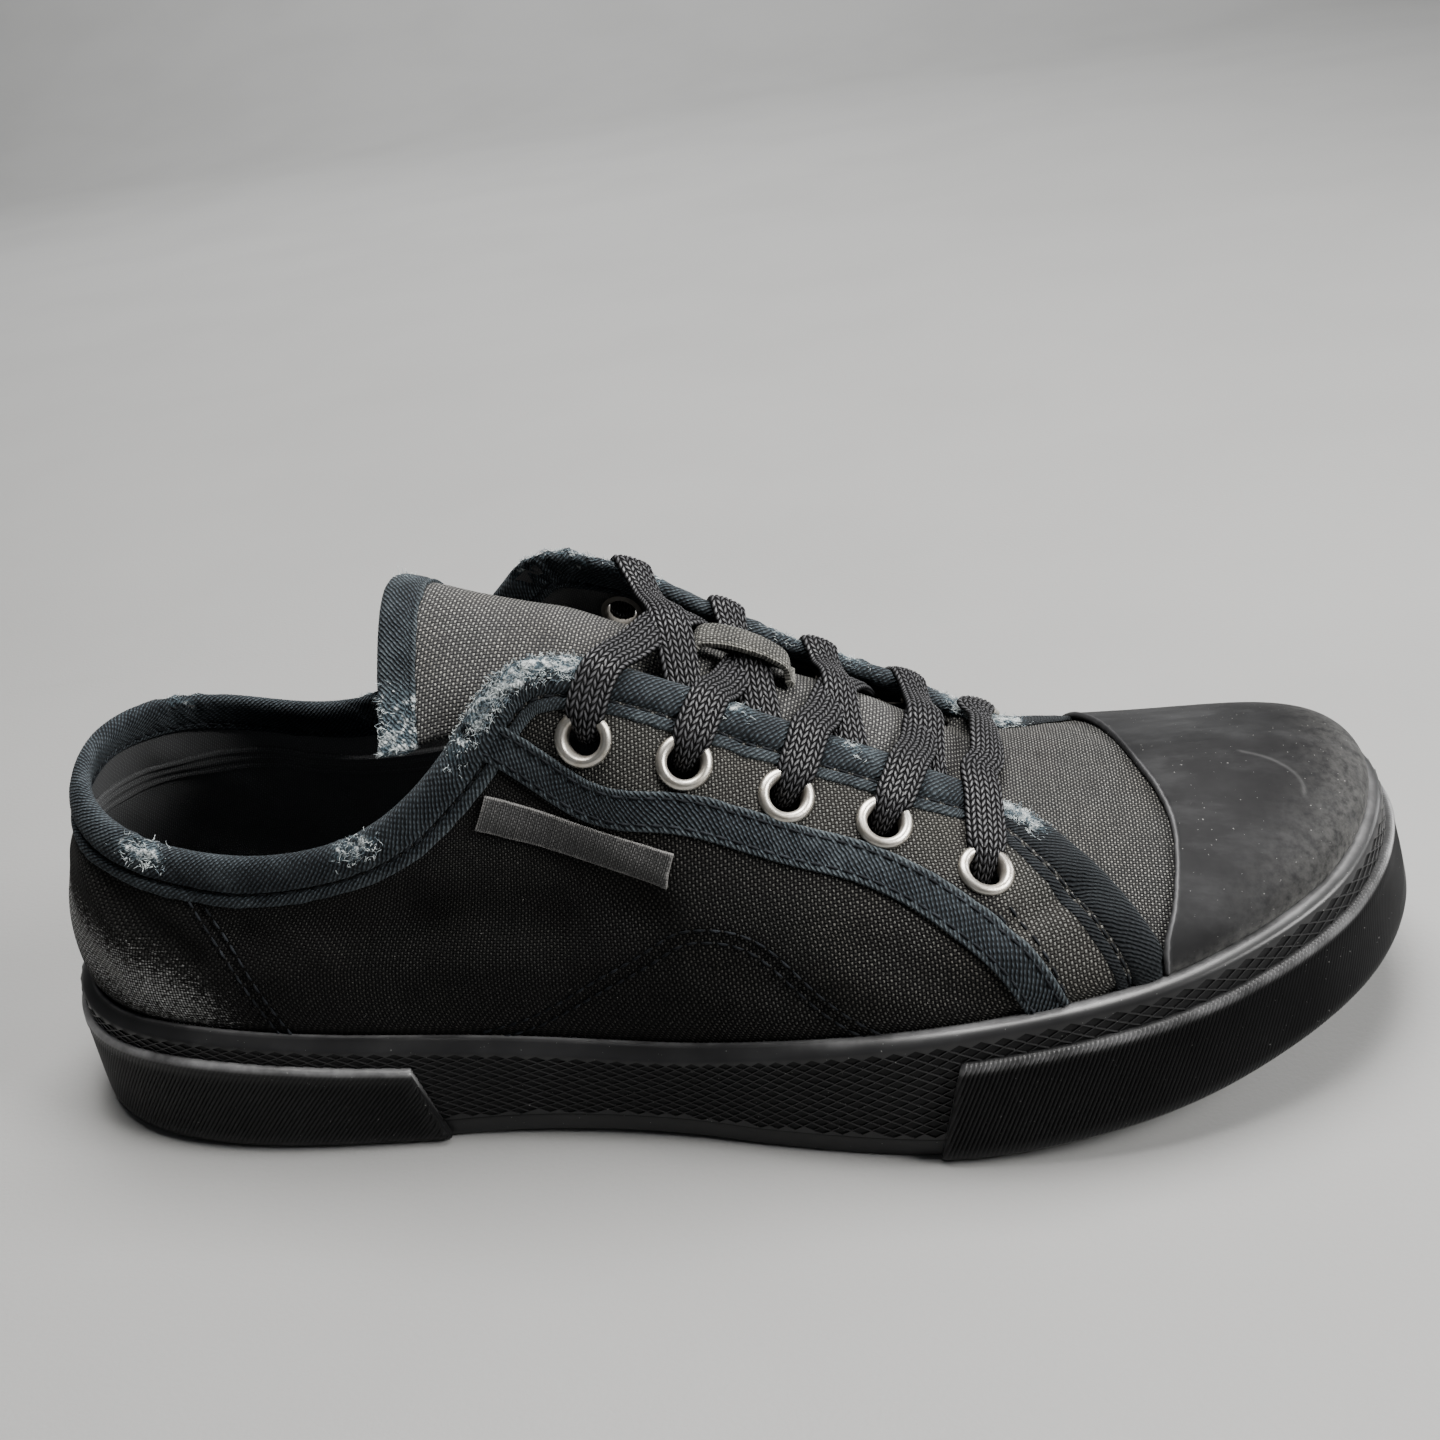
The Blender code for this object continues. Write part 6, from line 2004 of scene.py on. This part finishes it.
def braid_finish():
    """Spun black polyester, a little dusty; its stitch tops are painted light as a painted
    highlight and the gaps between them dark as painted shade.
    """
    braid = Finish("lace braid")
    x, y = braid.flat()
    within = y.maths("FRACT")
    slant = 1.0 - (y.maths("FLOOR") * 0.5).maths("FRACT") * 4.0
    phase = (x / STITCH_RUN + slant * (within - 0.5) * 0.95) * math.pi
    stitch = abs(phase.maths("SINE")) ** 0.8
    high = stitch * (within * math.pi).maths("SINE") ** 0.6
    fine = braid.grain(1900.0, 2.0)
    cloud = braid.grain(90.0, 3.0)
    # Painted highlight on the stitch tops, painted shade in the gaps between them.
    shine = (high.rise(0.30, 1.0) * (0.45 + fine * 0.5 + cloud * 0.5)).maths("MINIMUM", 1.0)
    colour = braid.blend(shine, (0.0012, 0.0013, 0.0016), (0.060, 0.060, 0.064))
    speck = braid.grain(1500.0, 1.0)
    colour = braid.blend((speck > 0.75) * 0.5, colour, (0.30, 0.30, 0.29))
    return braid.coat(Base_Color=colour, Roughness=0.56 + fine * 0.2, Specular_IOR_Level=0.08,
                      Coat_Weight=high.rise(0.45, 1.0) * 0.6, Coat_Roughness=0.36,
                      Normal=braid.bump(high + fine * 0.2, 0.00042, 1.0))


BRAID = braid_finish()


def rim_place(x):
    """t where the lateral edge of the throat passes x."""
    t = np.linspace(EYELETS[0][0], THROAT_END + 1.0, 80)
    return np.interp(x, TOP_X(t), t)


def over_rim(eyelet, sign, rim_x, clear):
    """Points and ways up of a strand from inside an eyelet to the throat's edge."""
    t, v = EYELETS[eyelet]
    rim = rim_place(rim_x)
    points = []
    for share, high in ((-0.04, -3.2), (0.0, -0.9), (0.07, 1.1), (0.22, 2.5), (0.5, 2.75),
                        (0.75, clear - 0.1), (1.0, clear)):
        place = t + (rim - t) * share
        place = ROUND - place if sign > 0 else place
        up = v + (1.0 - v) * share
        bend = np.array((0.0, 0.0, LACE_BEND * max(share, 0.0) ** 4))
        points.append(shell(place, up) + unit(shell_way(place, up) + bend) * high)
    return points


def flat_on_rim(points, count):
    """Ways up that keep the first points' width in line with the throat's edge."""
    slope = np.array((1.0, 0.0, RIM_SLOPE))
    ways = []
    for i in range(count):
        up = np.cross(slope, points[i + 1] - points[max(i - 1, 0)])
        ways.append(unit(up) * (1.0 if i < 2 and up[2] > -1 or up[2] > 0 else -1.0))
    for i in range(count - 2, -1, -1):
        if ways[i] @ ways[i + 1] < 0:
            ways[i] = -ways[i]
    return ways


def strand(number, sign):
    """Knots of one strand: points and ways up, from its eyelet to under the far edge."""
    near = shell(*EYELETS[number])[0] + RIM_LEAD
    far, extra = CROSSINGS[number]
    first = over_rim(number, sign, near, LACE_CLEAR)
    over = OVER_LIFT if sign > 0 else 0.0
    places = [(near + (far - near) * share, sign * across,
               height + (extra if share < 0.8 else extra * 0.35) + over * (0.3 < share < 0.7))
              for share, across, height in STRAND]
    second = [tongue_point(x, a) + tongue_way(x, a) * h for x, a, h in places]
    points = first + second
    return points, flat_on_rim(points, len(first)) + [tongue_way(x, a) for x, a, _ in places]


def make_strand(name, points, ways, in_holes, seed):
    """Braid a flat cord along knots. in_holes tells which of its ends go into an eyelet."""
    path = smooth_path(np.concatenate([points, ways], -1), 0.04)
    walk = run_along(path[:, :3], 0)
    long = walk[-1]
    count = int(long / LACE_STEP) + 1
    at = np.linspace(0, long, count)
    path = np.stack([np.interp(at, walk, c) for c in path.T], -1)
    soft = np.hanning(21) / np.hanning(21).sum()
    path = np.stack([np.convolve(np.pad(c, 10, mode="reflect", reflect_type="odd"), soft, "valid")
                     for c in path.T], -1)
    middle, up = path[:, :3], unit(path[:, 3:])
    ahead = unit(np.gradient(middle, axis=0))
    cross = unit(np.cross(ahead, up))
    up = np.cross(cross, ahead)
    rng = np.random.default_rng(seed)
    drift = rng.normal(size=4)
    tilt = 0.10 * np.sin(at / 9 + drift[0]) + 0.05 * np.sin(at / 4 + drift[1])
    cross, up = (cross * np.cos(tilt)[:, None] + up * np.sin(tilt)[:, None],
                 up * np.cos(tilt)[:, None] - cross * np.sin(tilt)[:, None])
    from_hole = np.full(count, 1e3)
    if in_holes[0]:
        from_hole = np.minimum(from_hole, at)
    if in_holes[1]:
        from_hole = np.minimum(from_hole, long - at)
    pinch = held(1 - (from_hole - 3.0) / 7.5)
    pinch = pinch * pinch * (3 - 2 * pinch)
    wide = LACE_WIDTH * (1 - 0.30 * pinch) + 0.18 * np.sin(at / 6 + drift[2])
    camber = 0.55 + 1.5 * pinch
    top = np.linspace(-1, 1, LACE_CORDS * CORD_POINTS + 1)
    under = np.linspace(1, -1, LACE_CORDS + 1)[1:-1]
    w = np.concatenate([top, under])
    face = np.concatenate([np.ones(len(top)), -np.ones(len(under))])
    cord = (w + 1) / 2 * LACE_CORDS
    number = np.clip(np.floor(cord), 0, LACE_CORDS - 1)
    within = cord - number
    slant = np.where(number % 2 == 0, 1.0, -1.0)
    ridge = np.abs(np.sin(within * math.pi))
    phase = at[:, None] / STITCH_RUN + slant * (within - 0.5) * 0.62 + (number % 2) * 0.5
    stitch = np.abs(np.sin(phase * math.pi)) ** 0.7
    high = ridge * (0.35 + 0.65 * stitch)
    edge = np.sqrt(held(1 - np.abs(w) ** 3.4))
    lift = face * (LACE_THICK / 2 - 0.22) * edge + face * 0.36 * high * (face > 0)
    lift -= camber[:, None] * w**2
    points = (middle[:, None] + cross[:, None] * (wide[:, None] / 2 * w)[..., None]
              + up[:, None] * lift[..., None])
    points = closed_ends(np.concatenate([points, points[:, :1]], 1))
    flat = np.stack([np.broadcast_to(at[:, None], points.shape[:2]),
                     np.broadcast_to(np.append(cord, LACE_CORDS * 2), points.shape[:2])], -1)
    piece = laid(name, points, flat, None, BRAID)
    sewn(piece, near=1e-5, turn=True)
    return piece


def make_laces():
    for number in range(len(CROSSINGS)):
        pair = [make_strand("strand", *strand(number, sign), (True, False), 3 * number + sign + 1)
                for sign in (-1, 1)]
        bpy.ops.object.select_all(action="DESELECT")
        for piece in pair:
            piece.select_set(True)
        bpy.context.view_layer.objects.active = pair[0]
        bpy.ops.object.join()
        pair[0].name = f"lace_crossing_{number + 1}"
        shown(pair[0], "braid", f"lace_cross_{number + 1}")
    last = len(EYELETS) - 1
    lateral, medial = (over_rim(last, sign, STRAIGHT_X, LACE_CLEAR + 0.4) for sign in (-1, 1))
    middle = [tongue_point(STRAIGHT_X, a) + tongue_way(STRAIGHT_X, a) * STRAIGHT_HEIGHT
              for a in STRAIGHT_ACROSS]
    ways = (flat_on_rim(lateral + middle, len(lateral))
            + [tongue_way(STRAIGHT_X, a) for a in STRAIGHT_ACROSS]
            + flat_on_rim(medial + middle, len(medial))[::-1])
    bar = make_strand("lace_straight", lateral + middle + medial[::-1], ways, (True, True), 40)
    shown(bar, "braid", "lace_bar")


make_laces()
